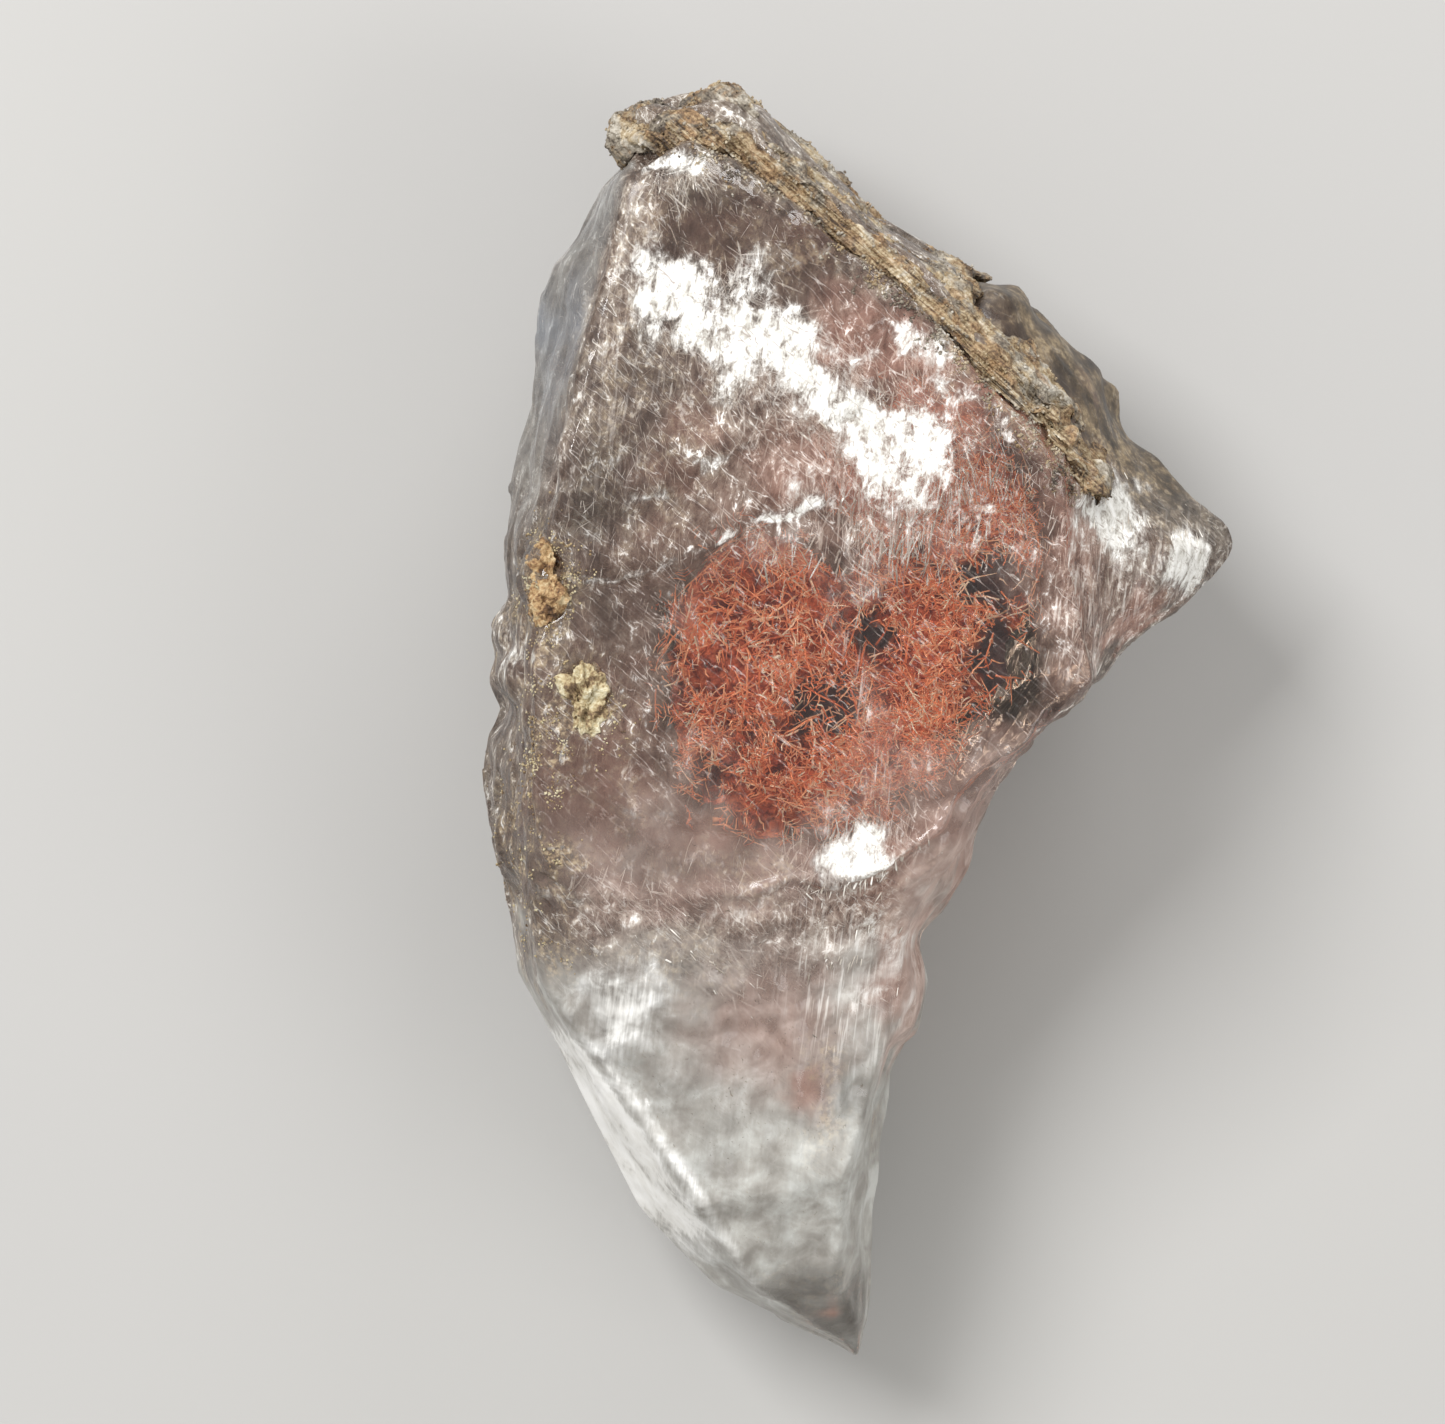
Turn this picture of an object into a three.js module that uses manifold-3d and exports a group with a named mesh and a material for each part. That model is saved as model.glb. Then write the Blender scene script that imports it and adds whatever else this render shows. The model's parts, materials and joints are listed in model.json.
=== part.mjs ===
/**
 * Native copper in selenite: one clear, cleaved gypsum crystal that grew around a tangle of copper wires,
 * with an earthy limonite crust along its upper right edge and ochre in two pits of its left edge.
 *
 * Millimetres, +Z up. The crystal lies on its flat back cleavage: +Y runs to its blunt head, -Y to its point,
 * the broad front cleavage faces up, and the origin is below the middle of its box.
 */
import * as THREE from 'three';
import { mergeVertices } from 'three/addons/utils/BufferGeometryUtils.js';
import { ImprovedNoise } from 'three/addons/math/ImprovedNoise.js';
import { LoftGeometry } from 'three/addons/geometries/LoftGeometry.js';
import Module from 'manifold-3d';

const wasm = await Module();
wasm.setup();

// ---- Driving dimensions, mm -----------------------------------------------------------------------------

const FRONT = 16.0; // height of the front cleavage over the back one
const SHOULDER = 14.4; // height of the crystal's body under the front plates
const PARTING = 12.0; // plane on which the crystal is parted around the copper
const GAP = 0.3; // clearance between neighbouring pieces
const SECTION_STEPS = [0.6, 1.7]; // shortest and longest stretch between two sections of the body
const BODY_GRAIN = 2.4; // size of the lumps on the crystal's rough sides
const EDGE_GRAIN = 0.9; // size of the nicks in a plate's broken edge
const EDGE_STEP = 1.2; // between the nicks
const EDGE_DEPTH = 0.2; // of the nicks
const STONE_DETAIL = 2; // subdivisions of a lump's icosahedron
const STONE_GRAIN = 1.3; // size of the dents in a lump
const KNOB_DENTS = 0.2; // depth of the dents, as a share of the radius: in the crystal's knobs
const HEAD_DENTS = 0.34; // in the crust's knobs
const COPPER_DENTS = 0.12; // in the copper's lobes
const OCHRE_DENTS = 0.22; // in the ochre

// The long faces of the body: stretches across each, and how far its lumps stand out.
const UNDER_FACE = { steps: 1, rough: 0 };
const RIGHT_FLANK = { steps: 3, rough: 0.5 };
const RIGHT_BEVEL = { steps: 4, rough: 0.42 };
const TOP_FACE = { steps: 3, rough: 0.12 };
const LEFT_BEVEL = { steps: 4, rough: 0.3 };
const LEFT_FLANK = { steps: 3, rough: 0.5 };
const BODY_ENDS = [23.3, -23.9]; // y of its first and last whole section
const BODY_TAPER = 0.2; // from a last section to the point that closes the body
const FOOT_LIMIT = 0.7; // widest foot inset, as a share of half the width
const RIDGE_MARGIN = 0.05; // least distance of a ridge from an edge, as a share of half the width

// Outline from above, from head to point: [x, y].
const LEFT_EDGE = [
  [-5.9, 24.0], [-8.6, 23.4], [-9.2, 21.6], [-9.8, 19.9], [-10.8, 18.2], [-11.8, 17.2], [-12.2, 15.7],
  [-12.5, 12.5], [-13.1, 9.4], [-13.5, 6.6], [-13.5, 5.3], [-13.3, 4.7], [-13.8, 4.1], [-14.15, 3.2],
  [-14.0, 2.5], [-14.1, 1.6], [-13.4, 0.5], [-14.1, -0.7], [-14.3, -2.6], [-14.1, -4.2], [-13.5, -5.7],
  [-13.3, -7.5], [-13.0, -9.6], [-11.7, -12.0], [-10.2, -15.1], [-8.4, -18.6], [-7.5, -19.6],
  [-5.5, -21.6], [-3.2, -22.7], [-2.1, -23.4], [-0.1, -24.1],
];
const RIGHT_EDGE = [
  [-4.9, 24.1], [-4.1, 23.6], [-2.9, 22.6], [-0.6, 20.2], [1.4, 18.4], [3.0, 17.3], [5.3, 16.8], [7.4, 15.4],
  [8.85, 13.5], [10.1, 12.7], [10.1, 11.4], [10.4, 10.7], [11.6, 10.0], [11.75, 9.5], [12.8, 8.5],
  [14.0, 7.4], [14.3, 6.6], [13.6, 5.5], [12.6, 4.4], [10.9, 3.3], [9.1, 1.6], [7.3, 0.1], [6.1, -1.5],
  [4.9, -3.6], [3.95, -6.2], [3.3, -7.2], [2.4, -8.2], [2.7, -10.4], [2.6, -11.1], [1.3, -13.3],
  [0.85, -16.2], [0.85, -17.7], [0.6, -18.9], [0.5, -21.7], [0.1, -24.1],
];

// Heights and insets of the body's long edges, from head to point: [y, value].
const LEFT_EDGE_HEIGHT = [[24, 9], [17, 8.5], [6.6, 7.2], [0, 6.6], [-10, 6.2], [-20, 6], [-24.1, 6.4]];
const RIGHT_EDGE_HEIGHT = [
  [24, 9], [17.3, 7.5], [12, 7], [6.6, 9.6], [3.3, 9.4], [0, 6.6], [-4, 5.4], [-11, 5.2], [-18, 6],
  [-24.1, 6.4],
];
const LEFT_FOOT_INSET = [[24, 1.2], [17, 2.2], [5, 2.0], [-8, 2.4], [-17, 2.8], [-24.1, 0.05]];
const RIGHT_FOOT_INSET = [
  [24, 1.2], [17, 3.0], [12, 3.4], [6.6, 6.0], [3.3, 4.8], [0, 2.6], [-8, 1.5], [-17, 1.8], [-24.1, 0.05],
];
const UNDERSIDE = [[24, 4.5], [22.4, 1.6], [21, 0], [-17.7, 0], [-21, 1.5], [-24.1, 6.2]];

// Upper edges of the body: [y, x, z].
const LEFT_RIDGE = [
  [24, -7.2, 12.2], [22.6, -7.9, 13.4], [20.4, -9.0, 14.6], [16.0, -10.2, SHOULDER], [11.4, -11.25, SHOULDER],
  [6.7, -12.15, SHOULDER], [0.8, -12.55, SHOULDER], [-3.0, -12.55, SHOULDER], [-6.0, -12.1, 14.3],
  [-10.8, -11.2, 13.6], [-13.8, -9.0, 13.2], [-18.2, -6.4, 12.2], [-21.7, -3.6, 9.6], [-24.1, -0.05, 6.7],
];
const RIGHT_RIDGE = [
  [24, -5.9, 12.2], [22.6, -5.2, 13.4], [20.2, -3.2, 14.4], [18.1, -0.6, SHOULDER], [16.0, 2.1, SHOULDER],
  [13.5, 4.4, SHOULDER], [11.1, 6.7, SHOULDER], [9.1, 8.2, SHOULDER], [6.1, 8.3, 14.6], [3.1, 8.8, 14.3],
  [1.4, 8.7, 13.6], [0, 6.9, 13.3], [-1.7, 5.2, 13.3], [-4.1, 3.7, 13.2], [-5.4, 2.6, 13.2],
  [-9.1, 1.1, 13.0], [-12.9, 0.5, 12.6], [-17.4, -0.5, 12.0], [-21.4, -0.7, 9.8], [-24.1, 0.05, 6.7],
];

// Cleavage plates on the body. The outline runs counterclockwise; draft is how far a wall leans out.
const FRONT_FACE = [
  [-8.6, 20.4], [-9.8, 16.0], [-10.9, 11.4], [-11.8, 6.7], [-12.2, 0.8], [-12.2, -3.0], [-11.9, -5.4],
  [-10.8, -6.4], [-9.6, -7.5], [-8.3, -7.0], [-6.2, -7.5], [-4.5, -7.0], [-3.2, -6.2], [-2.2, -6.0],
  [-1.2, -6.5], [-0.3, -6.2], [0.9, -5.9], [1.8, -5.0], [3.1, -4.1], [3.6, -3.0], [4.8, -1.7], [6.2, -0.9],
  [7.1, 0.3], [8.8, 1.5], [8.4, 3.1], [7.8, 6.1], [7.75, 9.1], [6.2, 11.1], [3.9, 13.5], [1.6, 16.0],
  [-1.1, 18.1], [-3.7, 20.2], [-6.4, 21.7],
];
const LOWER_STEP = [
  [-12.3, -4.0], [-12.1, -7.4], [-11.5, -8.7], [-10.4, -8.5], [-9.1, -8.9], [-7.8, -8.4], [-5.9, -8.8],
  [-4.4, -8.3], [-3.3, -7.6], [-1.8, -7.5], [0.2, -7.2], [1.5, -6.7], [2.4, -5.6], [3.5, -4.6], [4.1, -3.2],
  [5.0, -1.9], [6.1, -1.0], [7.0, 0.1], [8.6, 1.3], [5.0, 2.0], [-6, 1.0],
];
const LOWEST_STEP = [
  [-12.2, -5.5], [-11.8, -9.2], [-11.0, -10.9], [-9.9, -10.6], [-8.4, -11.0], [-7.2, -10.3], [-5.6, -10.5],
  [-4.0, -9.7], [-2.6, -9.6], [-1.0, -8.8], [0.6, -8.4], [1.5, -7.5], [2.5, -6.1], [3.7, -4.6], [4.2, -3.4],
  [5.0, -2.3], [3.0, 0], [-5, -3.0],
];
const UPPER_LEDGE = [
  [-8.65, 20.3], [-9.85, 15.9], [-10.9, 11.3], [-11.6, 7.6], [-11.2, 5.0], [-9.8, 5.6], [-8.2, 5.5],
  [-6.4, 6.1], [-5.0, 7.0], [-3.6, 7.8], [-2.2, 8.0], [-1.0, 8.4], [0.4, 7.9], [1.6, 7.6], [3.2, 8.3],
  [5.4, 8.4], [7.5, 9.0], [6.1, 11.0], [3.8, 13.4], [1.5, 15.9], [-1.2, 18.0], [-3.8, 20.1], [-6.3, 21.4],
];
const TOP_LEDGE = [
  [-8.6, 20.0], [-9.8, 15.8], [-10.8, 11.4], [-11.3, 8.6], [-11.3, 7.5], [-9.9, 7.9], [-8.4, 8.0],
  [-7.0, 9.0], [-5.8, 9.6], [-4.4, 10.4], [-3.0, 10.5], [-1.4, 11.2], [-0.3, 11.5], [0.4, 12.9], [-0.8, 13.9],
  [0.9, 15.0], [-1.4, 17.4], [-3.9, 19.6], [-6.2, 20.8],
];
const PLATES = [
  { outline: LOWEST_STEP, top: 14.5, bottom: 12.5, draft: 0.35 },
  { outline: LOWER_STEP, top: 15.2, bottom: 12.7, draft: 0.3 },
  { outline: FRONT_FACE, top: FRONT, bottom: 12.9, draft: 0.14 },
  { outline: UPPER_LEDGE, top: FRONT + 0.22, bottom: 15.1, draft: 0.1 },
  { outline: TOP_LEDGE, top: FRONT + 0.45, bottom: 15.2, draft: 0.1 },
];

// Knobs grown into the crystal's sides: centre, radii.
const KNOBS = [
  { at: [-12.5, 3.2, 8.2], size: [1.45, 1.3, 2.6] },
  { at: [-12.4, 1.7, 10.6], size: [1.3, 1.2, 2.4] },
  { at: [-12.3, -1.6, 8.0], size: [1.75, 2.0, 3.4] },
  { at: [-12.0, -4.4, 9.6], size: [1.8, 2.2, 2.6] },
  { at: [7.3, 12.5, 9.2], size: [2.2, 2.3, 3.6] },
  { at: [4.6, 14.8, 9.6], size: [2.4, 1.8, 3.4] },
  { at: [1.15, -10.1, 7.6], size: [1.4, 2.3, 4.0] },
  { at: [2.8, -4.6, 8.4], size: [1.2, 2.3, 3.6] },
];

// Lobes of the copper tangle: centre, radii.
const COPPER_LOBES = [
  { at: [-3.8, 1.7, 12.0], size: [4.4, 6.8, 3.4] },
  { at: [3.0, 3.6, 12.1], size: [4.2, 4.4, 3.2] },
  { at: [-0.6, -1.2, 11.9], size: [3.8, 4.0, 3.1] },
  { at: [2.4, -0.6, 13.0], size: [2.0, 2.3, 1.9] },
  { at: [2.2, 9.6, 12.0], size: [3.9, 4.0, 3.0] },
  { at: [4.9, 7.0, 12.2], size: [2.5, 3.6, 2.9] },
];

// Ochre that fills two pits: centre, radii.
const OCHRE_UPPER = { at: [-11.65, 5.1, 15.0], size: [0.75, 1.6, 1.15] };
const OCHRE_LOWER = { at: [-10.4, 0.8, 15.5], size: [0.85, 1.2, 0.85] };

// The limonite crust: a skin down the right bevel, and knobs around the head.
const CRUST = 0.72; // thickness of the skin
const CRUST_INSET = 0.9; // room that the crust takes inside the outline where it covers the edge
const CRUST_START = { left: 20.6, right: 17.0 }; // y above which it covers each edge
const CRUST_ENDS = [23.5, 8.5]; // y of the skin's two ends
const CRUST_STEP = 0.8; // between its sections
const CRUST_COLUMNS = 6; // points across it
const CRUST_GRAIN = 1.5; // size of its lumps
const CRUST_LIP = 0.06; // how far it rises over the bevel's upper edge, as a share of the bevel
const CRUST_FADE = 1.2; // stretch of an edge over which it starts
const CRUST_EVEN = 0.8; // least thickness of an even crust, as a share of the thickness
const CRUST_ROUGH = 0.75; // how far its lumps change that share
const CRUST_ROOTS = [[-1.6, -0.4], [-2.4, -0.6]]; // from its two rims to its corners in the crystal: [x, z]
const CRUST_TAPER = 0.1; // from a last section to the point that closes it
const CRUST_THIN = [[24, 1], [11.5, 1], [8.5, 0.45]]; // share of the thickness that is left, by y
const CRUST_REACH = [ // share of the bevel that it covers, by y
  [24, 1.0], [17.8, 1.0], [16.6, 0.75], [15, 0.6], [12, 0.5], [10.4, 0.55], [9.2, 0.38], [8.5, 0.2],
];
const HEAD_KNOBS = [
  { at: [-7.9, 22.0, 12.6], size: [1.3, 1.3, 1.9] },
  { at: [-7.4, 22.3, 8.2], size: [1.7, 1.3, 3.0] },
  { at: [-5.4, 22.7, 11.8], size: [1.5, 1.35, 2.1] },
  { at: [-5.1, 22.6, 7.4], size: [1.7, 1.3, 3.2] },
  { at: [-6.6, 22.1, 14.0], size: [1.5, 0.95, 1.1] },
];

// ---- Helpers --------------------------------------------------------------------------------------------

const perlin = new ImprovedNoise();

/** Smooth noise of about -1 to 1 with the given grain size. */
function noise(x, y, z, grain) {
  return 1.6 * perlin.noise(x / grain + 31.7, y / grain + 11.3, z / grain + 47.9);
}

/** Rough, slightly angular noise for broken stone. */
function craggy(x, y, z, grain) {
  return 0.7 * noise(x, y, z, grain) + 0.4 * (0.5 - Math.abs(noise(z, x, y, grain * 0.55)));
}

/** Reads a list of [key, value, value...], sorted by falling key, at a key. */
function along(list, key) {
  let next = list.findIndex((row) => row[0] <= key);
  if (next === 0) return list[0].slice(1);
  if (next < 0) next = list.length - 1;
  const [above, below] = [list[next - 1], list[next]];
  const t = THREE.MathUtils.clamp((above[0] - key) / (above[0] - below[0]), 0, 1);
  return above.slice(1).map((value, i) => THREE.MathUtils.lerp(value, below[i + 1], t));
}

const byHeight = (outline) => outline.map(([x, y]) => [y, x]);

/** Moves the points of a counterclockwise loop out in its plane. */
function outset(loop, distance) {
  return loop.map(([u, v], i) => {
    const [beforeU, beforeV] = loop.at(i - 1);
    const [afterU, afterV] = loop[(i + 1) % loop.length];
    const out = new THREE.Vector2(afterV - beforeV, beforeU - afterU).normalize();
    return [u + out.x * distance, v + out.y * distance];
  });
}

/** A closed geometry as a manifold solid, without the empty triangles where sections shrink to a point. */
function solid(geometry) {
  const bare = new THREE.BufferGeometry();
  bare.setAttribute('position', geometry.getAttribute('position'));
  bare.setIndex(geometry.getIndex());
  const merged = mergeVertices(bare, 1e-5);
  const corners = merged.getIndex().array;
  const triangles = [];
  for (let i = 0; i < corners.length; i += 3) {
    const [a, b, c] = corners.slice(i, i + 3);
    if (a !== b && b !== c && c !== a) triangles.push(a, b, c);
  }
  const vertProperties = new Float32Array(merged.getAttribute('position').array);
  const triVerts = new Uint32Array(triangles);
  return new wasm.Manifold(new wasm.Mesh({ numProp: 3, vertProperties, triVerts }));
}

const fused = (solids) => solids.reduce((whole, piece) => whole.add(piece));

/** A box between two corners, for parting a solid on a plane. */
function slab(low, high) {
  const size = new THREE.Vector3().subVectors(high, low);
  const centre = new THREE.Vector3().addVectors(high, low).multiplyScalar(0.5);
  return solid(new THREE.BoxGeometry(size.x, size.y, size.z).translate(centre.x, centre.y, centre.z));
}

/** An irregular stone: an icosahedron stretched to its radii, dented by noise and grown by a margin. */
function stone({ at, size }, dents, grow) {
  const geometry = new THREE.IcosahedronGeometry(1, STONE_DETAIL);
  const position = geometry.getAttribute('position');
  const centre = new THREE.Vector3(...at);
  const radii = new THREE.Vector3(...size);
  for (let i = 0; i < position.count; i += 1) {
    const away = new THREE.Vector3().fromBufferAttribute(position, i).normalize();
    const p = away.clone().multiply(radii);
    const dent = 1 + dents * craggy(p.x + centre.x, p.y + centre.y, p.z + centre.z, STONE_GRAIN);
    p.multiplyScalar(dent).addScaledVector(away, grow).add(centre);
    position.setXYZ(i, p.x, p.y, p.z);
  }
  return solid(geometry);
}

// ---- The crystal's body ---------------------------------------------------------------------------------

const leftEdge = byHeight(LEFT_EDGE);
const rightEdge = byHeight(RIGHT_EDGE);

/** The body's left and right edge at y, set in where the crust covers them. */
function edges(y) {
  const inset = (start) => CRUST_INSET * THREE.MathUtils.smoothstep(y, start, start + CRUST_FADE);
  return [along(leftEdge, y)[0] + inset(CRUST_START.left), along(rightEdge, y)[0] - inset(CRUST_START.right)];
}

/** One section of the body at y: [x, z] points, counterclockwise seen from the crystal's point. */
function section(y) {
  const [left, right] = edges(y);
  const half = (right - left) / 2;
  const foot = (insets) => Math.min(along(insets, y)[0], half * FOOT_LIMIT);
  const margin = half * RIDGE_MARGIN;
  const inside = (x) => THREE.MathUtils.clamp(x, left + margin, right - margin);
  const under = along(UNDERSIDE, y)[0];
  const [leftRidge, leftTop] = along(LEFT_RIDGE, y);
  const [rightRidge, rightTop] = along(RIGHT_RIDGE, y);
  const corners = [
    { x: left + foot(LEFT_FOOT_INSET), z: under, face: UNDER_FACE },
    { x: right - foot(RIGHT_FOOT_INSET), z: under, face: RIGHT_FLANK },
    { x: right, z: along(RIGHT_EDGE_HEIGHT, y)[0], face: RIGHT_BEVEL },
    { x: inside(rightRidge), z: rightTop, face: TOP_FACE },
    { x: inside(leftRidge), z: leftTop, face: LEFT_BEVEL },
    { x: left, z: along(LEFT_EDGE_HEIGHT, y)[0], face: LEFT_FLANK },
  ];
  const ring = [];
  corners.forEach((corner, i) => {
    const next = corners[(i + 1) % corners.length];
    const across = new THREE.Vector2(next.z - corner.z, corner.x - next.x).normalize();
    for (let step = 0; step < corner.face.steps; step += 1) {
      const t = step / corner.face.steps;
      const x = THREE.MathUtils.lerp(corner.x, next.x, t);
      const z = THREE.MathUtils.lerp(corner.z, next.z, t);
      const out = corner.face.rough * Math.sin(Math.PI * t) * craggy(x, y, z, BODY_GRAIN);
      ring.push([x + across.x * out, z + across.y * out]);
    }
  });
  return ring;
}

/** The y of each section: the outline's own corners, with more between corners that lie far apart. */
function stations() {
  const [shortest, longest] = SECTION_STEPS;
  const [start, end] = BODY_ENDS;
  const marks = [...LEFT_EDGE, ...RIGHT_EDGE].map(([, y]) => y).filter((y) => y < start && y > end);
  const rows = [];
  for (const y of marks.sort((a, b) => b - a)) {
    const last = rows.at(-1);
    if (rows.length === 0) rows.push(y);
    if (last - y < shortest) continue;
    const parts = Math.ceil((last - y) / longest);
    for (let i = 1; i <= parts; i += 1) rows.push(THREE.MathUtils.lerp(last, y, i / parts));
  }
  return [...rows, end];
}

const upright = (ring, y) => ring.map(([x, z]) => new THREE.Vector3(x, y, z));

/** A section shrunk to one point at y, which closes a loft there. */
function shrunk(ring, y) {
  const middle = ring.reduce((sum, p) => sum.add(p), new THREE.Vector3()).divideScalar(ring.length);
  return ring.map(() => new THREE.Vector3(middle.x, y, middle.z));
}

/** A closed solid through upright sections, given as { y, ring }. */
function lofted(sections, past) {
  const rings = sections.map(({ y, ring }) => upright(ring, y));
  const [first, last] = [sections[0].y + past, sections.at(-1).y - past];
  return solid(new LoftGeometry([shrunk(rings[0], first), ...rings, shrunk(rings.at(-1), last)]));
}

function body(grow) {
  return lofted(stations().map((y) => ({ y, ring: outset(section(y), grow) })), BODY_TAPER + grow);
}

/** Adds nicks along an outline, as on a broken edge. */
function ragged(outline) {
  const points = [];
  outline.forEach(([x, y], i) => {
    const [nextX, nextY] = outline[(i + 1) % outline.length];
    const across = new THREE.Vector2(nextY - y, x - nextX).normalize();
    const parts = Math.max(1, Math.round(Math.hypot(nextX - x, nextY - y) / EDGE_STEP));
    points.push([x, y]);
    for (let k = 1; k < parts; k += 1) {
      const px = THREE.MathUtils.lerp(x, nextX, k / parts);
      const py = THREE.MathUtils.lerp(y, nextY, k / parts);
      const nick = EDGE_DEPTH * craggy(px, py, 0.5, EDGE_GRAIN);
      points.push([px + across.x * nick, py + across.y * nick]);
    }
  });
  return points;
}

/** A cleavage plate: a flat top with ragged walls that lean out by the draft. */
function plate({ outline, top, bottom, draft }, grow) {
  const nicked = ragged(outline);
  const level = (z, out) => outset(nicked, out).map(([x, y]) => new THREE.Vector3(x, y, z));
  const levels = [level(bottom - grow, draft + grow), level(top + grow, grow)];
  return solid(new LoftGeometry(levels, { capStart: true, capEnd: true }));
}

/** The whole crystal, without its pocket and pits. */
function crystal(grow) {
  const plates = PLATES.map((layer) => plate(layer, grow));
  const knobs = KNOBS.map((knob) => stone(knob, KNOB_DENTS, grow));
  return fused([body(grow), ...plates, ...knobs]);
}

// ---- The pieces -----------------------------------------------------------------------------------------

const copper = (grow) => fused(COPPER_LOBES.map((lobe) => stone(lobe, COPPER_DENTS, grow)));
const ochre = (fill, grow) => stone(fill, OCHRE_DENTS, grow);

/** One section of the crust's skin at y: its rough outside over the bevel, closed inside the crystal. */
function crustSection(y) {
  const [ridge, top] = along(RIGHT_RIDGE, y);
  const [, edge] = edges(y);
  const low = along(RIGHT_EDGE_HEIGHT, y)[0];
  const across = new THREE.Vector2(top - low, edge - ridge).normalize();
  const ring = [];
  for (let i = 0; i < CRUST_COLUMNS; i += 1) {
    const share = THREE.MathUtils.lerp(along(CRUST_REACH, y)[0], -CRUST_LIP, i / (CRUST_COLUMNS - 1));
    const x = THREE.MathUtils.lerp(ridge, edge, share);
    const z = THREE.MathUtils.lerp(top, low, share);
    const lumps = CRUST_EVEN + CRUST_ROUGH * craggy(x, y, z, CRUST_GRAIN);
    const out = GAP + CRUST * along(CRUST_THIN, y)[0] * lumps;
    ring.push([x + across.x * out, z + across.y * out]);
  }
  const rims = [ring.at(-1), ring[0]];
  rims.forEach(([x, z], i) => ring.push([x + CRUST_ROOTS[i][0], z + CRUST_ROOTS[i][1]]));
  return ring;
}

/** The crust: the skin and the head's knobs, clear of the crystal by the gap. */
function crust() {
  const [start, end] = CRUST_ENDS;
  const count = Math.round((start - end) / CRUST_STEP);
  const sections = Array.from({ length: count + 1 }, (_, i) => {
    const y = THREE.MathUtils.lerp(start, end, i / count);
    return { y, ring: crustSection(y) };
  });
  const knobs = HEAD_KNOBS.map((knob) => stone(knob, HEAD_DENTS, 0));
  return fused([lofted(sections, CRUST_TAPER), ...knobs]).subtract(crystal(GAP));
}

const FAR = 60; // beyond the crystal on every side
const overParting = slab(new THREE.Vector3(-FAR, -FAR, PARTING), new THREE.Vector3(FAR, FAR, FAR));
const pitted = crystal(0).subtract(ochre(OCHRE_UPPER, GAP)).subtract(ochre(OCHRE_LOWER, GAP));
const selenite = pitted.subtract(copper(GAP));

const SELENITE = { color: 0xc9c2bf, roughness: 0.18, metalness: 0 };
const COPPER = { color: 0xb4543a, roughness: 0.45, metalness: 0.9 };
const LIMONITE = { color: 0x8c6a44, roughness: 0.95, metalness: 0 };
const OCHRE = { color: 0xa9793c, roughness: 0.95, metalness: 0 };

/** A named mesh of a solid, with the vertices of the parting plane put exactly on it. */
function piece(name, shape, look) {
  const mesh = shape.getMesh();
  const position = new Float32Array(mesh.vertProperties);
  for (let i = 2; i < position.length; i += 3) {
    if (Math.abs(position[i] - PARTING) < 1e-4) position[i] = PARTING;
  }
  const geometry = new THREE.BufferGeometry();
  geometry.setAttribute('position', new THREE.BufferAttribute(position, 3));
  geometry.setIndex(new THREE.BufferAttribute(new Uint32Array(mesh.triVerts), 1));
  geometry.computeVertexNormals();
  const node = new THREE.Mesh(geometry, new THREE.MeshStandardMaterial(look));
  node.name = name;
  return node;
}

const specimen = new THREE.Group();
specimen.add(
  piece('selenite_front', selenite.intersect(overParting), SELENITE),
  piece('selenite_back', selenite.subtract(overParting), SELENITE),
  piece('native_copper', copper(0), COPPER),
  piece('limonite_crust', crust(), LIMONITE),
  piece('ochre_fill_upper', ochre(OCHRE_UPPER, 0), OCHRE),
  piece('ochre_fill_lower', ochre(OCHRE_LOWER, 0), OCHRE),
);

// The origin goes below the middle of the specimen's box.
const box = new THREE.Box3().setFromObject(specimen);
specimen.position.set(-(box.min.x + box.max.x) / 2, -(box.min.y + box.max.y) / 2, 0);

export default specimen;
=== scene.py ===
"""Native copper in selenite: a clear to milky gypsum crystal that holds a tangle of fine copper needles,
with an earthy limonite crust along its upper right edge and ochre in two pits of its left edge.

The crystal lies on its flat back. Lengths below are in millimetres unless a name says otherwise.
"""

import json
import math
import random
from contextlib import contextmanager

import bpy
import numpy as np
from mathutils import Euler, Matrix, Vector, noise

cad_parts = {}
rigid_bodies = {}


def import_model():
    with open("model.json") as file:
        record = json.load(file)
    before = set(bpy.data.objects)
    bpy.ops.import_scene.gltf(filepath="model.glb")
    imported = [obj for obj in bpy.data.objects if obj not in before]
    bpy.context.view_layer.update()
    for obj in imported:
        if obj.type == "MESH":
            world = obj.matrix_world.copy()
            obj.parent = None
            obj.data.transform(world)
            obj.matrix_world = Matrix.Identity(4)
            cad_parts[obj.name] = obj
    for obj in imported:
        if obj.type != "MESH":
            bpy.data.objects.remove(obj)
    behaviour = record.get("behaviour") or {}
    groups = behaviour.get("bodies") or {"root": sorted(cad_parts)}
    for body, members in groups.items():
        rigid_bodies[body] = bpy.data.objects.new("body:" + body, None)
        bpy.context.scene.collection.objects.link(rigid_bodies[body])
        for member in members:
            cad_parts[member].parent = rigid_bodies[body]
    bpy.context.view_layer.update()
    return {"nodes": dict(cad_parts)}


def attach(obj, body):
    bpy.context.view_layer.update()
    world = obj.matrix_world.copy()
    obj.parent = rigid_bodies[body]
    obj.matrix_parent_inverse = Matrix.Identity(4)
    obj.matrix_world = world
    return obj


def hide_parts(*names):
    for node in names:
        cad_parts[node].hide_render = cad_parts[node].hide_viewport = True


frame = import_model()
MM = 0.001
UP = Vector((0, 0, 1))
WELD = 2e-6      # in metres: points of the frame's nodes that are closer than this are one point
ABOVE = 30       # how far out the rays start that look for a surface
# A faint glow of what lies in the crystal. It makes up for how dim things sealed in the crystal look.
PAINTED_GLOW = 0.1


# ---- Bench tools ----------------------------------------------------------------------------------------

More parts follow.
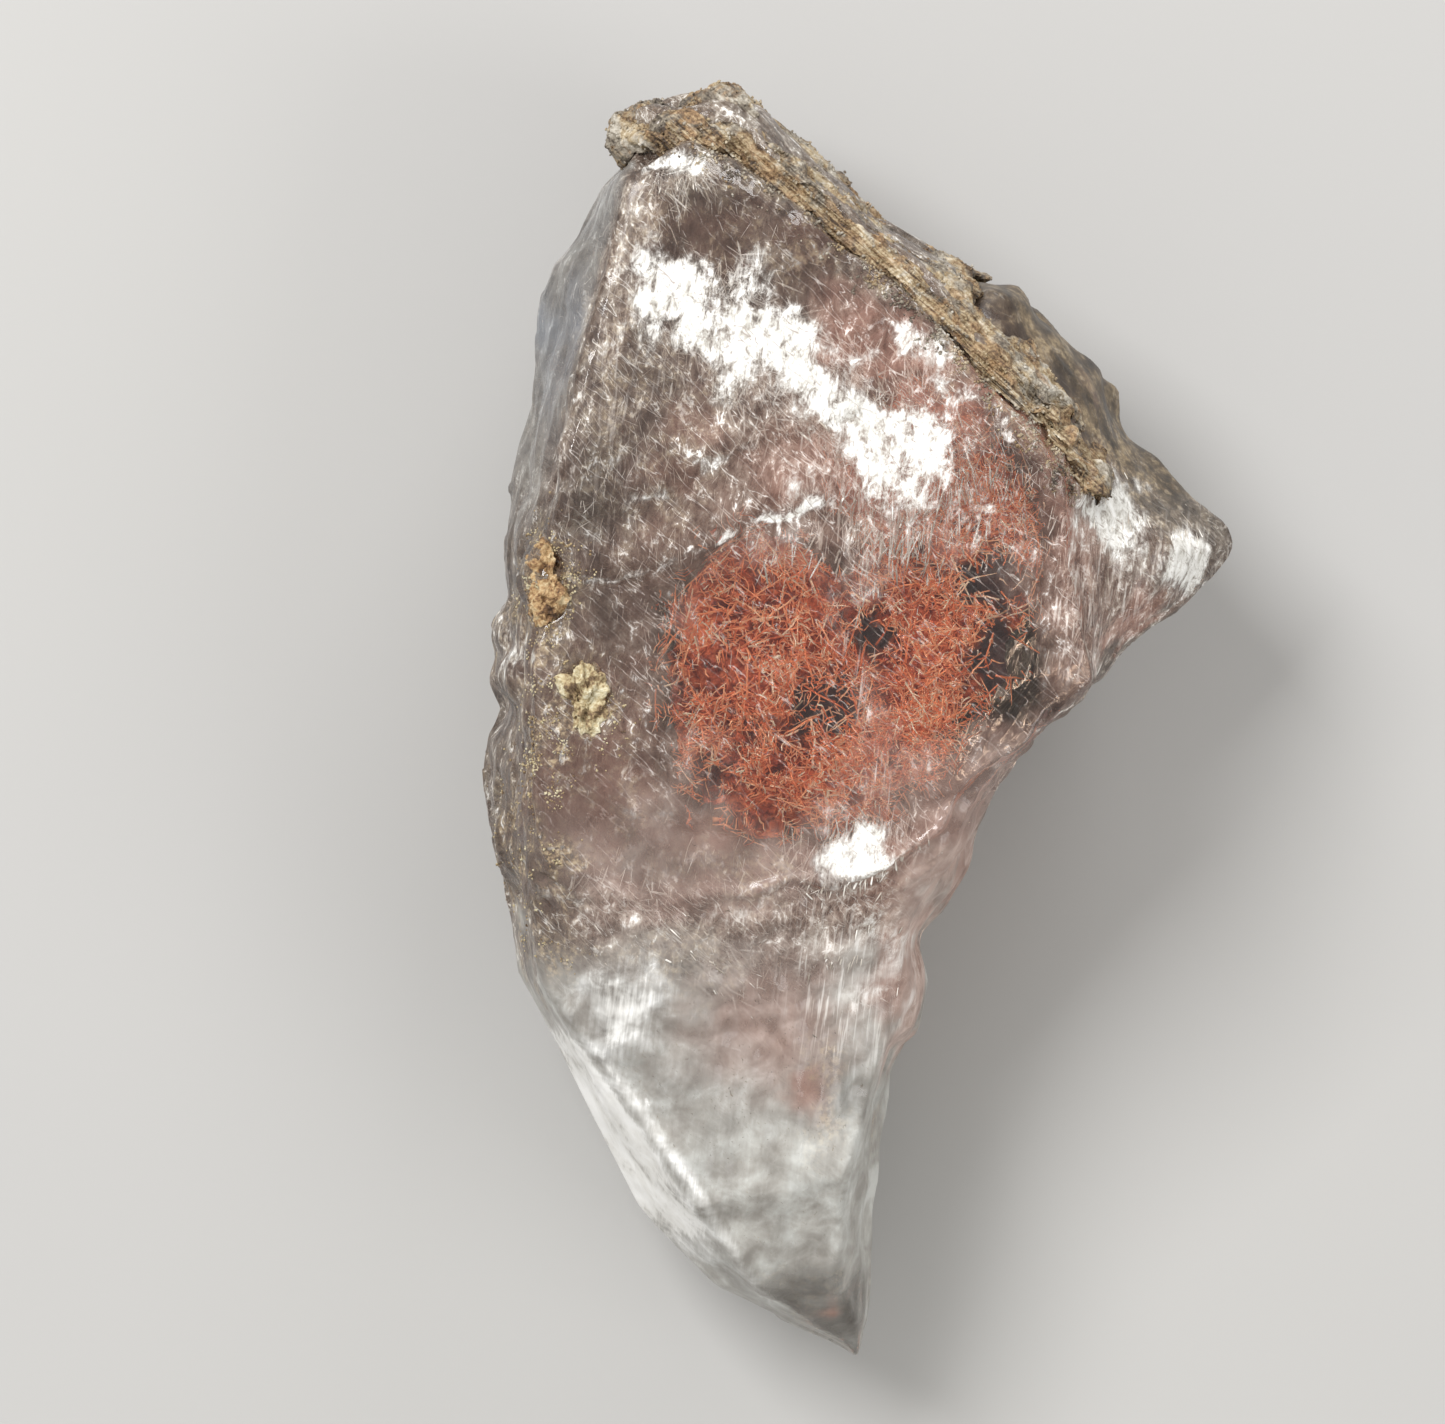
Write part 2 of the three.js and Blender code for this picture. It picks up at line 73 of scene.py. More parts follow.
def pick(*objects):
    """Selects these objects alone and makes the first one active."""
    bpy.ops.object.select_all(action="DESELECT")
    for obj in objects:
        obj.select_set(True)
    bpy.context.view_layer.objects.active = objects[0]
    return objects[0]


@contextmanager
def editing(obj):
    """Edit mode on one object, with its whole mesh selected."""
    pick(obj)
    bpy.ops.object.mode_set(mode="EDIT")
    bpy.ops.mesh.select_all(action="SELECT")
    yield
    bpy.ops.object.mode_set(mode="OBJECT")


def remesh(obj, voxel):
    """Rebuilds a closed piece from cubes of this size in millimetres."""
    pick(obj)
    modifier = obj.modifiers.new("Remesh", "REMESH")
    modifier.mode = "VOXEL"
    modifier.voxel_size = voxel * MM
    bpy.ops.object.modifier_apply(modifier=modifier.name)


def merged_copy(name, node):
    """A copy of one of the frame's nodes, with its doubled points merged."""
    copy = bpy.data.objects.new(name, frame["nodes"][node].data.copy())
    copy.data.materials.clear()
    bpy.context.scene.collection.objects.link(copy)
    with editing(copy):
        bpy.ops.mesh.remove_doubles(threshold=WELD)
    return copy


def joined(name, *objects):
    """One mesh of several."""
    whole = pick(*objects)
    bpy.ops.object.join()
    whole.name = whole.data.name = name
    return whole


def read(things, name):
    """One value of three numbers for each of a mesh's points or faces."""
    flat = np.empty(len(things) * 3)
    things.foreach_get(name, flat)
    return flat.reshape(-1, 3)


def points_of(obj):
    """The object's points as an array, in millimetres."""
    return read(obj.data.vertices, "co") / MM


def normals_of(obj):
    """The directions that the object's points face."""
    return read(obj.data.vertices, "normal")


def move_points(obj, points):
    obj.data.vertices.foreach_set("co", (points * MM).ravel())
    obj.data.update()


def paint(obj, name, *shares):
    """Stores one number for every point, for a material to read: the largest of these shares."""
    layer = obj.data.attributes.new(name, "FLOAT", "POINT")
    layer.data.foreach_set("value", np.clip(np.max(shares, axis=0), 0, 1).astype(np.float32))


def rough(points, grain, octaves=2, offset=0.0):
    """Noise of about -1 to 1 at each point; grain is one size or one for each axis."""
    grain = np.ones(3) * np.array(grain)
    spots = points / grain + np.array([offset, 3.7 + offset, 9.1 - offset])
    return np.array([noise.fractal(p, 1.0, 2.0, octaves) for p in spots.tolist()])


def ridged(points, grain, offset=0.0):
    """Noise of 0 to about 1 with sharp crests."""
    return 1 - np.abs(rough(points, grain, 2, offset)) * 2


def rise(value, low, high):
    """0 up to one value, 1 from another, and a smooth rise between them."""
    t = np.clip((value - low) / (high - low), 0, 1)
    return t * t * (3 - 2 * t)


def fall(value, low, high):
    """1 up to one value, 0 from another, and a smooth fall between them."""
    return 1 - rise(value, low, high)


def from_line(points, line):
    """Distance in plan from each point to a polyline of [x, y], and how far each lies to its left."""
    nearest = np.full(len(points), 1e9)
    side = np.zeros(len(points))
    for (ax, ay), (bx, by) in zip(line, line[1:]):
        span = np.array([bx - ax, by - ay])
        away = points[:, :2] - np.array([ax, ay])
        along = np.clip(away @ span / (span @ span), 0, 1)
        gap = away - along[:, None] * span
        distance = np.hypot(gap[:, 0], gap[:, 1])
        closer = distance < nearest
        nearest = np.where(closer, distance, nearest)
        side = np.where(closer, np.sign(span[0] * away[:, 1] - span[1] * away[:, 0]), side)
    return nearest, side


def patch(points, centre, size, turn=0.0, soft=0.45):
    """1 inside an ellipse in plan and 0 well outside it."""
    angle = math.radians(turn)
    away = points[:, :2] - np.array(centre)
    along = (away[:, 0] * math.cos(angle) + away[:, 1] * math.sin(angle)) / size[0]
    across = (away[:, 1] * math.cos(angle) - away[:, 0] * math.sin(angle)) / size[1]
    return fall(np.hypot(along, across), 1 - soft, 1 + soft)


def by_y(points, table):
    """Reads a list of (y, value) at each point's y."""
    rows = sorted(table)
    return np.interp(points[:, 1], [row[0] for row in rows], [row[1] for row in rows])


def strewn(name, shapes, places):
    """One mesh of many small copies: places are (shape, matrix in millimetres) pairs."""
    corners, faces, sizes, count = [], [], [], 0
    pools = []
    for shape in shapes:
        spots = points_of(shape)
        rings = [list(face.vertices) for face in shape.data.polygons]
        pools.append((spots, rings))
    for kind, matrix in places:
        spots, rings = pools[kind]
        turned = spots @ matrix[:3, :3].T + matrix[:3, 3]
        corners.append(turned)
        for ring in rings:
            faces.extend(corner + count for corner in ring)
            sizes.append(len(ring))
        count += len(spots)
    mesh = bpy.data.meshes.new(name)
    mesh.vertices.add(count)
    mesh.vertices.foreach_set("co", (np.concatenate(corners) * MM).ravel())
    mesh.loops.add(len(faces))
    mesh.loops.foreach_set("vertex_index", faces)
    mesh.polygons.add(len(sizes))
    mesh.polygons.foreach_set("loop_start", np.concatenate([[0], np.cumsum(sizes)[:-1]]))
    mesh.polygons.foreach_set("loop_total", sizes)
    mesh.update(calc_edges=True)
    mesh.validate()
    obj = bpy.data.objects.new(name, mesh)
    bpy.context.scene.collection.objects.link(obj)
    return obj


def set_at(place, aim, length, width, roll):
    """A matrix that lays a unit shape, which points along +Z, along aim at a place."""
    aim = Vector(aim).normalized()
    turn = UP.rotation_difference(aim).to_matrix() @ Matrix.Rotation(roll, 3, "Z")
    matrix = np.eye(4)
    matrix[:3, :3] = np.array(turn) @ np.diag([width, width, length])
    matrix[:3, 3] = place
    return matrix


# ---- Finishes -------------------------------------------------------------------------------------------

class Number:
    """A number that varies over a surface. Its operators add Math nodes."""

    def __init__(self, finish, socket):
        self.finish = finish
        self.socket = socket

    def __add__(self, other):
        return self.finish.math("ADD", self, other)

    def __radd__(self, other):
        return self.finish.math("ADD", other, self)

    def __sub__(self, other):
        return self.finish.math("SUBTRACT", self, other)

    def __rsub__(self, other):
        return self.finish.math("SUBTRACT", other, self)

    def __mul__(self, other):
        return self.finish.math("MULTIPLY", self, other)

    def __rmul__(self, other):
        return self.finish.math("MULTIPLY", other, self)


class Finish:
    """A material, built from nodes on the piece's own coordinates in millimetres."""

    def __init__(self, name):
        self.material = bpy.data.materials.new(name)
        self.material.use_nodes = True
        self.tree = self.material.node_tree
        self.tree.nodes.clear()
        place = self.add("ShaderNodeTexCoord", output="Object")
        self.place = self.add("ShaderNodeVectorMath", {"operation": "SCALE"}, {0: place, "Scale": 1 / MM})

    def add(self, kind, settings=None, sockets=None, output=0):
        """Adds a node: its settings first, then the values or links of its sockets."""
        node = self.tree.nodes.new(kind)
        for key, value in (settings or {}).items():
            if key == "stops":
                self.set_stops(node.color_ramp, value)
            else:
                setattr(node, key, value)
        for key, value in (sockets or {}).items():
            if isinstance(value, Number):
                self.tree.links.new(value.socket, node.inputs[key])
            else:
                node.inputs[key].default_value = value
        return Number(self, node.outputs[output])

    @staticmethod
    def set_stops(ramp, stops):
        for at, colour in stops[2:]:
            ramp.elements.new(at)
        for element, (at, colour) in zip(ramp.elements, stops):
            element.position = at
            element.color = (*colour, 1)

    def math(self, operation, *values):
        return self.add("ShaderNodeMath", {"operation": operation}, dict(enumerate(values)))

    def larger(self, *values):
        whole = values[0]
        for value in values[1:]:
            whole = self.math("MAXIMUM", whole, value)
        return whole

    def step(self, value, low, high):
        """Rises smoothly from 0 to 1 between two values."""
        ends = {"Value": value, "From Min": low, "From Max": high}
        return self.add("ShaderNodeMapRange", {"interpolation_type": "SMOOTHSTEP"}, ends)

    def painted(self, name):
        """Reads a number that paint() stored."""
        return self.add("ShaderNodeAttribute", {"attribute_name": name}, output="Fac")

    def grain(self, size, turn=0.0, detail=2.0, roughness=0.5, warp=0.0, at=(0, 0, 0)):
        """Noise with grains of the given size, turned in plan by some degrees."""
        size = (size, size, size) if isinstance(size, (int, float)) else size
        laid = {"Vector": self.place, "Location": at, "Rotation": (0, 0, math.radians(turn)), "Scale": size}
        place = self.add("ShaderNodeMapping", {"vector_type": "TEXTURE"}, laid)
        sockets = {"Vector": place, "Scale": 1.0, "Detail": detail, "Roughness": roughness, "Distortion": warp}
        return self.add("ShaderNodeTexNoise", None, sockets)

    def ramp(self, value, *stops):
        """Turns a number into a colour by (value, colour) stops."""
        return self.add("ShaderNodeValToRGB", {"stops": stops}, {"Fac": value})

    def blend(self, share, first, second):
        """Mixes two colours."""
        first, second = [c if isinstance(c, Number) else (*c, 1) for c in (first, second)]
        return self.add("ShaderNodeMix", {"data_type": "RGBA"}, {0: share, 6: first, 7: second}, 2)

    def bump(self, height, strength, distance):
        """Small relief from a number; distance is in millimetres."""
        sockets = {"Height": height, "Strength": strength, "Distance": distance * MM}
        return self.add("ShaderNodeBump", None, sockets)

    def surface(self, **values):
        """A Principled shader; names use _ for the spaces of its sockets."""
        sockets = {}
        for key, value in values.items():
            colour = isinstance(value, tuple) and len(value) == 3
            sockets[key.replace("_", " ")] = (*value, 1) if colour else value
        return self.add("ShaderNodeBsdfPrincipled", None, sockets)

    def done(self, shader, volume=None):
        """Joins the shader, and a volume if there is one, to the output."""
        output = self.tree.nodes.new("ShaderNodeOutputMaterial")
        self.tree.links.new(shader.socket, output.inputs["Surface"])
        if volume:
            self.tree.links.new(volume.socket, output.inputs["Volume"])
        return self.material


def dress(obj, material, slot, *stands_for):
    """Gives a finished piece its material and the nodes that it stands for; the slot is not used."""
    obj.data.materials.clear()
    obj.data.materials.append(material)
    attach(obj, "root")
    if stands_for:
        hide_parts(*stands_for)
    return obj


# ---- The crystal ----------------------------------------------------------------------------------------

FRONT = 15.5     # height of the crystal's front face
# The cubes that the crystal is rebuilt from. The fine ones keep it under 200,000 triangles.
COARSE_VOXEL = 0.24
VOXEL = 0.196
# The cells that its height is read on, the cells that its cover is blurred over, and the least cover that a
# height is divided by.
CELL = 0.3
COVER_SPREAD = 2
LEAST_COVER = 0.05
# Height of the plane that parts the frame's two halves of the crystal.
PARTING = 12.0
# Lines of the crystal in plan: its edges and creases, and the middle of its white band.
LEFT_RIDGE = [(-8.6, 20.4), (-9.8, 16.0), (-10.9, 11.4), (-11.8, 6.7), (-12.2, 0.8), (-12.2, -3.0),
              (-11.5, -6.5), (-11.0, -10.8), (-9.0, -13.8), (-6.2, -18.0), (-3.6, -21.7)]
SEAM = [(-6.4, 21.7), (-3.7, 20.2), (-1.1, 18.1), (1.6, 16.0), (3.9, 13.5), (6.2, 11.1), (7.75, 9.1)]
RIGHT_CREASE = [(7.75, 9.1), (8.3, 5.0), (8.9, 1.4)]
BLADE_RIDGE = [(-10.9, -11.0), (-8.6, -14.2), (-6.0, -17.9), (-4.6, -20.3), (-3.4, -22.3)]
BROKEN_EDGE = [(-11.9, -6.0), (-9.6, -7.6), (-6.2, -7.6), (-3.2, -6.3), (-0.3, -6.3), (1.8, -5.0),
               (3.6, -3.0), (6.2, -0.9), (8.8, 1.5)]
GLARE = [(-7.2, 16.9), (-5.5, 14.7), (-3.4, 13.9), (-1.2, 12.3), (0.6, 10.9), (1.8, 9.6)]
# Where the tip of the blade lies in x.
POINT_X = 0.15
# Axes along, up and outward, for the crystal as it lies and for its side beside the crust.
FROM_ABOVE = np.eye(3)
FROM_FLANK = np.array([(0.70, -0.714, 0), (0, 0, 1), (0.714, 0.70, 0)])


def outer_shell(obj):
    """Keeps the shell that has the outermost point, and drops what floats inside it."""
    pick(obj)
    bpy.ops.object.mode_set(mode="EDIT")
    bpy.ops.mesh.select_all(action="DESELECT")
    bpy.ops.object.mode_set(mode="OBJECT")
    obj.data.vertices[int(points_of(obj)[:, 0].argmin())].select = True
    bpy.ops.object.mode_set(mode="EDIT")
    bpy.ops.mesh.select_linked()
    bpy.ops.mesh.select_all(action="INVERT")
    bpy.ops.mesh.delete(type="VERT")
    bpy.ops.object.mode_set(mode="OBJECT")


def close_parting(obj):
    """Lifts the back half's top a little, so that the two halves run into one another."""
    spots = points_of(obj)
    spots[:, 2] += np.where(np.abs(spots[:, 2] - PARTING) < 0.01, 0.25, 0)
    move_points(obj, spots)


# Thin cleavage sheets of the front face: the wandering line each ends in, its thickness, its painted edge
# highlight.
SHEETS = (
    ([(-11.9, 5.4), (-9.9, 5.2), (-8.4, 5.6), (-6.4, 6.1), (-4.2, 7.5), (-1.0, 8.2), (2.6, 7.9), (5.4, 8.5),
      (7.9, 9.1)], 0.10, 0.58),
    ([(-11.6, 7.7), (-9.6, 7.9), (-7.4, 8.6), (-5.2, 9.9), (-2.2, 10.9), (-0.4, 11.5)], 0.08, 0.5),
    ([(-12.3, -2.0), (-9.0, -3.2), (-5.0, -4.1), (-1.0, -4.4), (3.0, -2.8)], 0.09, 0.3))


def heights_above(obj, us, vs, axes):
    """How far the piece reaches along the third axis over a grid of the other two, and which cells it covers."""
    along, up, outward = (Vector(axis) for axis in axes)
    heights = np.zeros((len(us), len(vs)))
    for i, u in enumerate(us):
        for j, v in enumerate(vs):
            hit, at, _, _ = obj.ray_cast((along * u + up * v + outward * ABOVE) * MM, -outward)
            heights[i, j] = at.dot(outward) / MM if hit else 0.0
    return heights, (heights > 0).astype(float)


def blurred(grid, spread):
    """A grid blurred by a bell curve of so many cells along both its axes."""
    reach = int(3 * spread)
    bell = np.exp(-(np.arange(-reach, reach + 1) / spread) ** 2 / 2)
    bell /= bell.sum()
    for axis in (0, 1):
        grid = np.apply_along_axis(np.convolve, axis, grid, bell, "same")
    return grid


def level_at(spots, obj, us, vs, axes, spread):
    """The piece's blurred reach along the third axis, and the share of covered cells, around each spot."""
    heights, covered = heights_above(obj, us, vs, axes)
    level = blurred(heights, spread) / np.maximum(blurred(covered, spread), LEAST_COVER)
    place = spots @ axes.T
    i, j = (np.clip(((place[:, k] - line[0]) / CELL).round().astype(int), 0, len(line) - 1)
            for k, line in enumerate((us, vs)))
    return level[i, j], blurred(covered, COVER_SPREAD)[i, j]


def soften_broken_steps(crystal):
    """Wears the steps between the front face and the blade down to one long slope."""
    spots = points_of(crystal)
    level, inside = level_at(spots, crystal, np.arange(-15, 15, CELL), np.arange(-21, -3, CELL), FROM_ABOVE, 5)
    amount = rise(-spots[:, 1], 5.0, 7.4) * fall(-spots[:, 1], 13.5, 17.0)
    amount *= rise(inside, 0.80, 0.97) * rise(spots[:, 2] - level, -3.2, -2.2)
    spots[:, 2] += amount * (level - spots[:, 2])
    move_points(crystal, spots)


def soften_flank(crystal):
    """Draws the knobs of the side beside the crust together into one long, gently broken face."""
    spots = points_of(crystal)
    level, _ = level_at(spots, crystal, np.arange(-12, 6, CELL), np.arange(0.2, 16.5, CELL), FROM_FLANK, 4)
    u, v, depth = (spots @ FROM_FLANK.T).T
    amount = rise(u, -7.5, -5.0) * fall(u, 0.5, 2.6) * rise(v, 7.6, 9.6)
    amount *= fall(v, 13.5, 15.0) * rise(normals_of(crystal) @ FROM_FLANK[2], 0.0, 0.3)
    amount *= rise(depth - level, -2.6, -1.8)
    dent = 0.22 * np.exp(-((u + 4.0) / 1.0) ** 2) * rise(v, 1.0, 3.0) * (depth > 13)
    spots += (amount * (level - depth) - dent)[:, None] * FROM_FLANK[2]
    move_points(crystal, spots)


def groove_filling():
    """The lower end of the crust's groove, where the crust thins out and leaves the crystal to fill it."""
    filling = merged_copy("groove_filling", "limonite_crust")
    spots = points_of(filling)
    thin = fall(spots[:, 1], 10.4, 13.0)
    out = normals_of(filling)
    proud = np.maximum(rise(out @ FROM_FLANK[2], 0.1, 0.5), 0.6 * rise(out @ FROM_FLANK[0], 0.3, 0.8))
    move_points(filling, spots + out * ((0.45 - 1.2 * proud) * thin - 0.7 * (1 - thin))[:, None])
    return filling


def pit_filling(node):
    """Crystal under a patch of ochre, so that the ochre lies thinly in a shallow pit."""
    filling = merged_copy(f"{node}_filling", node)
    spots = points_of(filling) + normals_of(filling) * 0.45
    spots[:, 2] -= 0.75
    move_points(filling, spots)
    return filling


def crystal_mesh():
    """The crystal's two halves and its fillings as one closed, softened mesh."""
    back = merged_copy("selenite_crystal", "selenite_back")
    close_parting(back)
    crystal = joined("selenite_crystal", back, merged_copy("selenite_front_half", "selenite_front"),
                     groove_filling(), pit_filling("ochre_fill_upper"), pit_filling("ochre_fill_lower"))
    remesh(crystal, COARSE_VOXEL)
    outer_shell(crystal)
    soften_broken_steps(crystal)
    soften_flank(crystal)
    remesh(crystal, VOXEL)
    outer_shell(crystal)
    return crystal


def shape_crystal(crystal):
    """Cleavage steps on the flat faces, and fibrous, layered relief on the broken ones."""
    spots = points_of(crystal)
    out = normals_of(crystal)
    x, y, z = spots.T
    front = rise(out[:, 2], 0.9, 0.98) * rise(z, 15.3, 15.7)
    side = fall(np.abs(out[:, 2]), 0.55, 0.9)
    under = rise(-out[:, 2], 0.7, 0.9) * fall(z, 0.4, 1.2)
    blade = rise(-y, 5.5, 8.0)

    lumps = rough(spots, 2.2, 3, 5.0)
    level = np.floor(z / 0.8 + 0.7 * rough(spots, 3.4, 2, 31.0))
    stacked = rough(np.column_stack([x, y, level * 9.0]), 3.6, 2, 12.0)
    splinters = rough(spots, (2.4, 2.4, 0.4), 2, 21.0)
    crags = ridged(spots, (1.1, 1.6, 1.1), 2.0)
    fibres = rough(spots, (0.55, 5.0, 0.9), 2, 1.0)
    relief = side * (0.24 * stacked + 0.12 * lumps + 0.07 * splinters)
    relief += (1 - side) * (1 - front) * (0.09 * lumps + 0.05 * crags + 0.05 * fibres)
    relief += blade * (1 - side) * (0.05 * fibres + 0.06 * lumps)
    ridge, ridge_side = from_line(spots, BLADE_RIDGE)
    bevel = rise(-ridge * ridge_side, -0.1, 0.4) * rise(-y, 10.0, 11.5) * rise(z, 3, 5)
    relief *= (1 - 0.7 * blade * side * rise(z, 4, 7)) * (1 - 0.92 * bevel)
    broken, _ = from_line(spots, BROKEN_EDGE)
    relief += fall(broken, 0.4, 1.5) * rise(z, 12, 13.5) * (0.10 * crags - 0.05)
    slope = rise(-y, 6.0, 7.5) * fall(-y, 10.5, 12.5) * rise(z, 12, 13.5)
    relief += slope * (0.08 * ridged(spots, (0.5, 3.2, 1.0), 12.0) - 0.04)
    relief *= (1 - front) * (1 - under) * (1 - 0.9 * patch(spots, (8.9, 12.8), (8.0, 3.6), -43, 0.5))
    relief -= front * (0.02 + 0.012 * rough(spots, (0.9, 9.0, 3.0), 2, 7.0))
    spots = spots + out * relief[:, None]

    wander = 0.35 * rough(spots, 1.3, 3, 4.0)
    for line, height, _ in SHEETS:
        distance, left = from_line(spots, line)
        spots[:, 2] += front * height * (rise(distance * left + wander, -0.1, 0.1) - 0.5)
    spots[:, 2] += 0.3 * np.exp(-(ridge / 0.4) ** 2) * rise(z, 7, 9) * (out[:, 2] > 0.2)
    point = rise(-spots[:, 1], 22.9, 24.0)
    spots[:, 0] += 0.5 * point * (POINT_X - spots[:, 0])
    spots[:, 1] -= 0.28 * point
    spots[:, 2] = np.where(under > 0.5, z, spots[:, 2])
    spots[:, 2] = np.maximum(spots[:, 2], 0.0)
    move_points(crystal, spots)


# How milky the crystal is and how bright the painted highlight along the blade's ridge is, by y.
MILK = ((24, 0.5), (10, 0.44), (6, 0.42), (0, 0.40), (-4, 0.44), (-7, 0.55), (-10, 0.62), (-16, 0.70),
        (-20, 0.7), (-24.1, 0.45))
RIDGE_LIGHT = ((-10, 0.4), (-12, 0.72), (-17, 0.8), (-21, 0.66), (-23, 0.4))
# The bundle of lines that runs down through the tangle.
BUNDLE = ((-0.6, 3.9), (0.2, 0.4), (1.1, -4.3))

# Areas of the crystal in plan. Each row is a strength, a centre, a size, a turn in degrees and how soft its
# edge is.

# Where the front face is clearer, above all over the copper.
CLEARER = (
    (0.56, (-3.4, 2.1), (4.3, 4.4), 0, 0.75), (0.54, (3.4, 3.0), (4.2, 3.8), 10, 0.65),
    (0.42, (-3.2, -1.9), (3.8, 2.5), 0, 0.7), (0.16, (2.0, -1.9), (3.6, 2.4), 0, 0.6),
    (0.2, (1.9, 12.3), (1.9, 0.9), -22, 0.4), (0.34, (5.0, 8.0), (2.6, 3.2), 20, 0.5),
    (0.24, (-5.6, 18.4), (2.2, 1.5), 0, 0.6), (0.28, (-1.9, 17.2), (1.4, 1.3), 0, 0.6),
    (0.1, (0.4, 14.7), (1.6, 1.0), -20, 0.5), (0.2, (-9.6, 8.6), (1.5, 2.2), 0, 0.6),
    (0.24, (-8.2, 3.0), (2.4, 3.4), 0, 0.6), (0.16, (-9.0, -2.6), (2.4, 3.2), 0, 0.8),
    (0.2, (-6.8, -4.4), (3.6, 1.8), 0, 0.7))

# Milky spots of the sides and of the point on the right.
MILKIER = (
    (0.25, (-8.7, 16.6), (1.0, 3.0), -12, 0.6), (0.3, (-13.2, 2.7), (1.2, 1.8), 0, 0.6),
    (0.2, (8.9, 5.6), (2.0, 4.0), 8, 0.6), (0.22, (11.6, 6.4), (2.4, 1.6), 0, 0.6),
    (0.2, (0.9, -9.4), (1.8, 3.6), 6, 0.7))

# Smoky windows of the blade and its tip.
CLEARER_BLADE = (
    (0.38, (-1.3, -22.4), (2.3, 1.5), -15, 0.6), (0.25, (-0.7, -13.8), (1.1, 2.0), 60, 0.7),
    (0.2, (-3.6, -10.6), (2.2, 1.6), 0, 0.8), (0.12, (-4.6, -12.4), (3.4, 2.2), 0, 0.8),
    (0.14, (1.9, -10.0), (1.0, 2.2), 0, 0.8))

# Parts of the front face that are smooth and hazy.
CALM = (
    (0.85, (-6.6, -4.6), (5.6, 2.4), 0, 0.7), (0.5, (3.4, -2.4), (3.0, 2.0), -20, 0.7))

# Windows that stay open in the white band.
GLARE_GAPS = (
    (1, (1.8, 12.5), (1.9, 0.8), -22, 0.4), (0.8, (-6.0, 18.5), (2.2, 1.4), 0, 0.5))

# White sheens of the front face: painted highlights, partly real white cleavage.
SHEENS = (
    (0.8, (-4.4, 15.9), (1.2, 1.7), 0, 0.7), (0.9, (-0.3, -5.0), (2.1, 1.2), 12, 0.5),
    (0.9, (-6.9, 20.5), (1.4, 0.5), 12, 0.7), (0.8, (2.4, 14.1), (0.8, 0.7), 0, 0.6),
    (0.52, (2.0, 8.6), (4.6, 1.9), -20, 0.8), (0.46, (-1.4, 8.6), (3.2, 1.5), 20, 0.8),
    (0.42, (-8.8, 15.2), (0.9, 3.4), -12, 0.7), (0.38, (-8.9, 10.6), (0.8, 3.0), 8, 0.7))

# Painted glints and white sheens of the sides, the right point and the blade.
SIDE_SHEENS = (
    (1.05, (9.6, 7.6), (1.8, 1.2), -40, 0.8), (1.15, (12.8, 5.8), (1.2, 1.5), -12, 0.8),
    (0.5, (8.0, 6.4), (0.6, 2.6), 6, 0.7), (0.45, (10.6, 5.6), (2.4, 1.2), -30, 0.8),
    (0.6, (-13.2, 2.6), (0.9, 1.6), 0, 0.7), (0.56, (0.8, -8.8), (1.2, 3.2), 12, 0.7),
    (0.3, (-4.0, -8.0), (4.0, 1.2), 5, 0.9), (0.85, (-8.8, -10.8), (2.2, 1.8), 30, 0.9))

# Earthy stains.
STAINS = (
    (0.8, (-11.6, 5.0), (1.4, 2.5), 0, 0.5), (0.8, (-10.4, 0.8), (1.7, 1.9), 0, 0.5),
    (0.85, (-11.3, -1.0), (1.4, 2.4), -12, 0.6), (0.85, (-12.2, -4.6), (1.8, 3.4), 0, 0.6),
    (0.6, (-11.4, -8.4), (1.3, 1.3), 0, 0.6), (0.75, (-12.8, 3.6), (1.2, 3.2), 0, 0.6),
    (0.45, (-7.6, 13.0), (3.0, 7.4), -10, 0.7), (0.5, (-4.9, 18.4), (2.0, 1.6), 0, 0.6),
    (0.5, (-1.9, 17.2), (1.6, 1.4), 0, 0.6), (0.4, (-9.4, -1.6), (1.8, 3.4), 0, 0.8),
    (0.3, (-1.6, -21.8), (2.0, 1.4), 0, 0.7), (0.5, (9.6, 9.2), (3.6, 0.8), -40, 0.7),
    (0.5, (-1.6, -13.6), (0.8, 2.6), 0, 0.7), (0.4, (-6.8, -9.0), (2.2, 1.2), 0, 0.8),
    (0.35, (-3.0, -5.4), (4.6, 1.4), 0, 0.8), (0.3, (7.6, 15.0), (2.6, 1.0), -40, 0.7),
    (0.35, (10.2, 10.2), (3.6, 1.5), -42, 0.7), (0.3, (6.2, 14.0), (2.6, 1.6), -42, 0.7))

# Where small dark marks lie.
MARKS = (
    (1, (-5.4, -5.6), (6.0, 3.6), 0, 0.6), (0.8, (-3.0, -14.0), (6.0, 5.0), 0, 0.8),
    (0.7, (-7.0, 12.0), (5.0, 9.0), 0, 0.6), (1, (-1.8, -13.6), (1.6, 3.6), 0, 0.8))

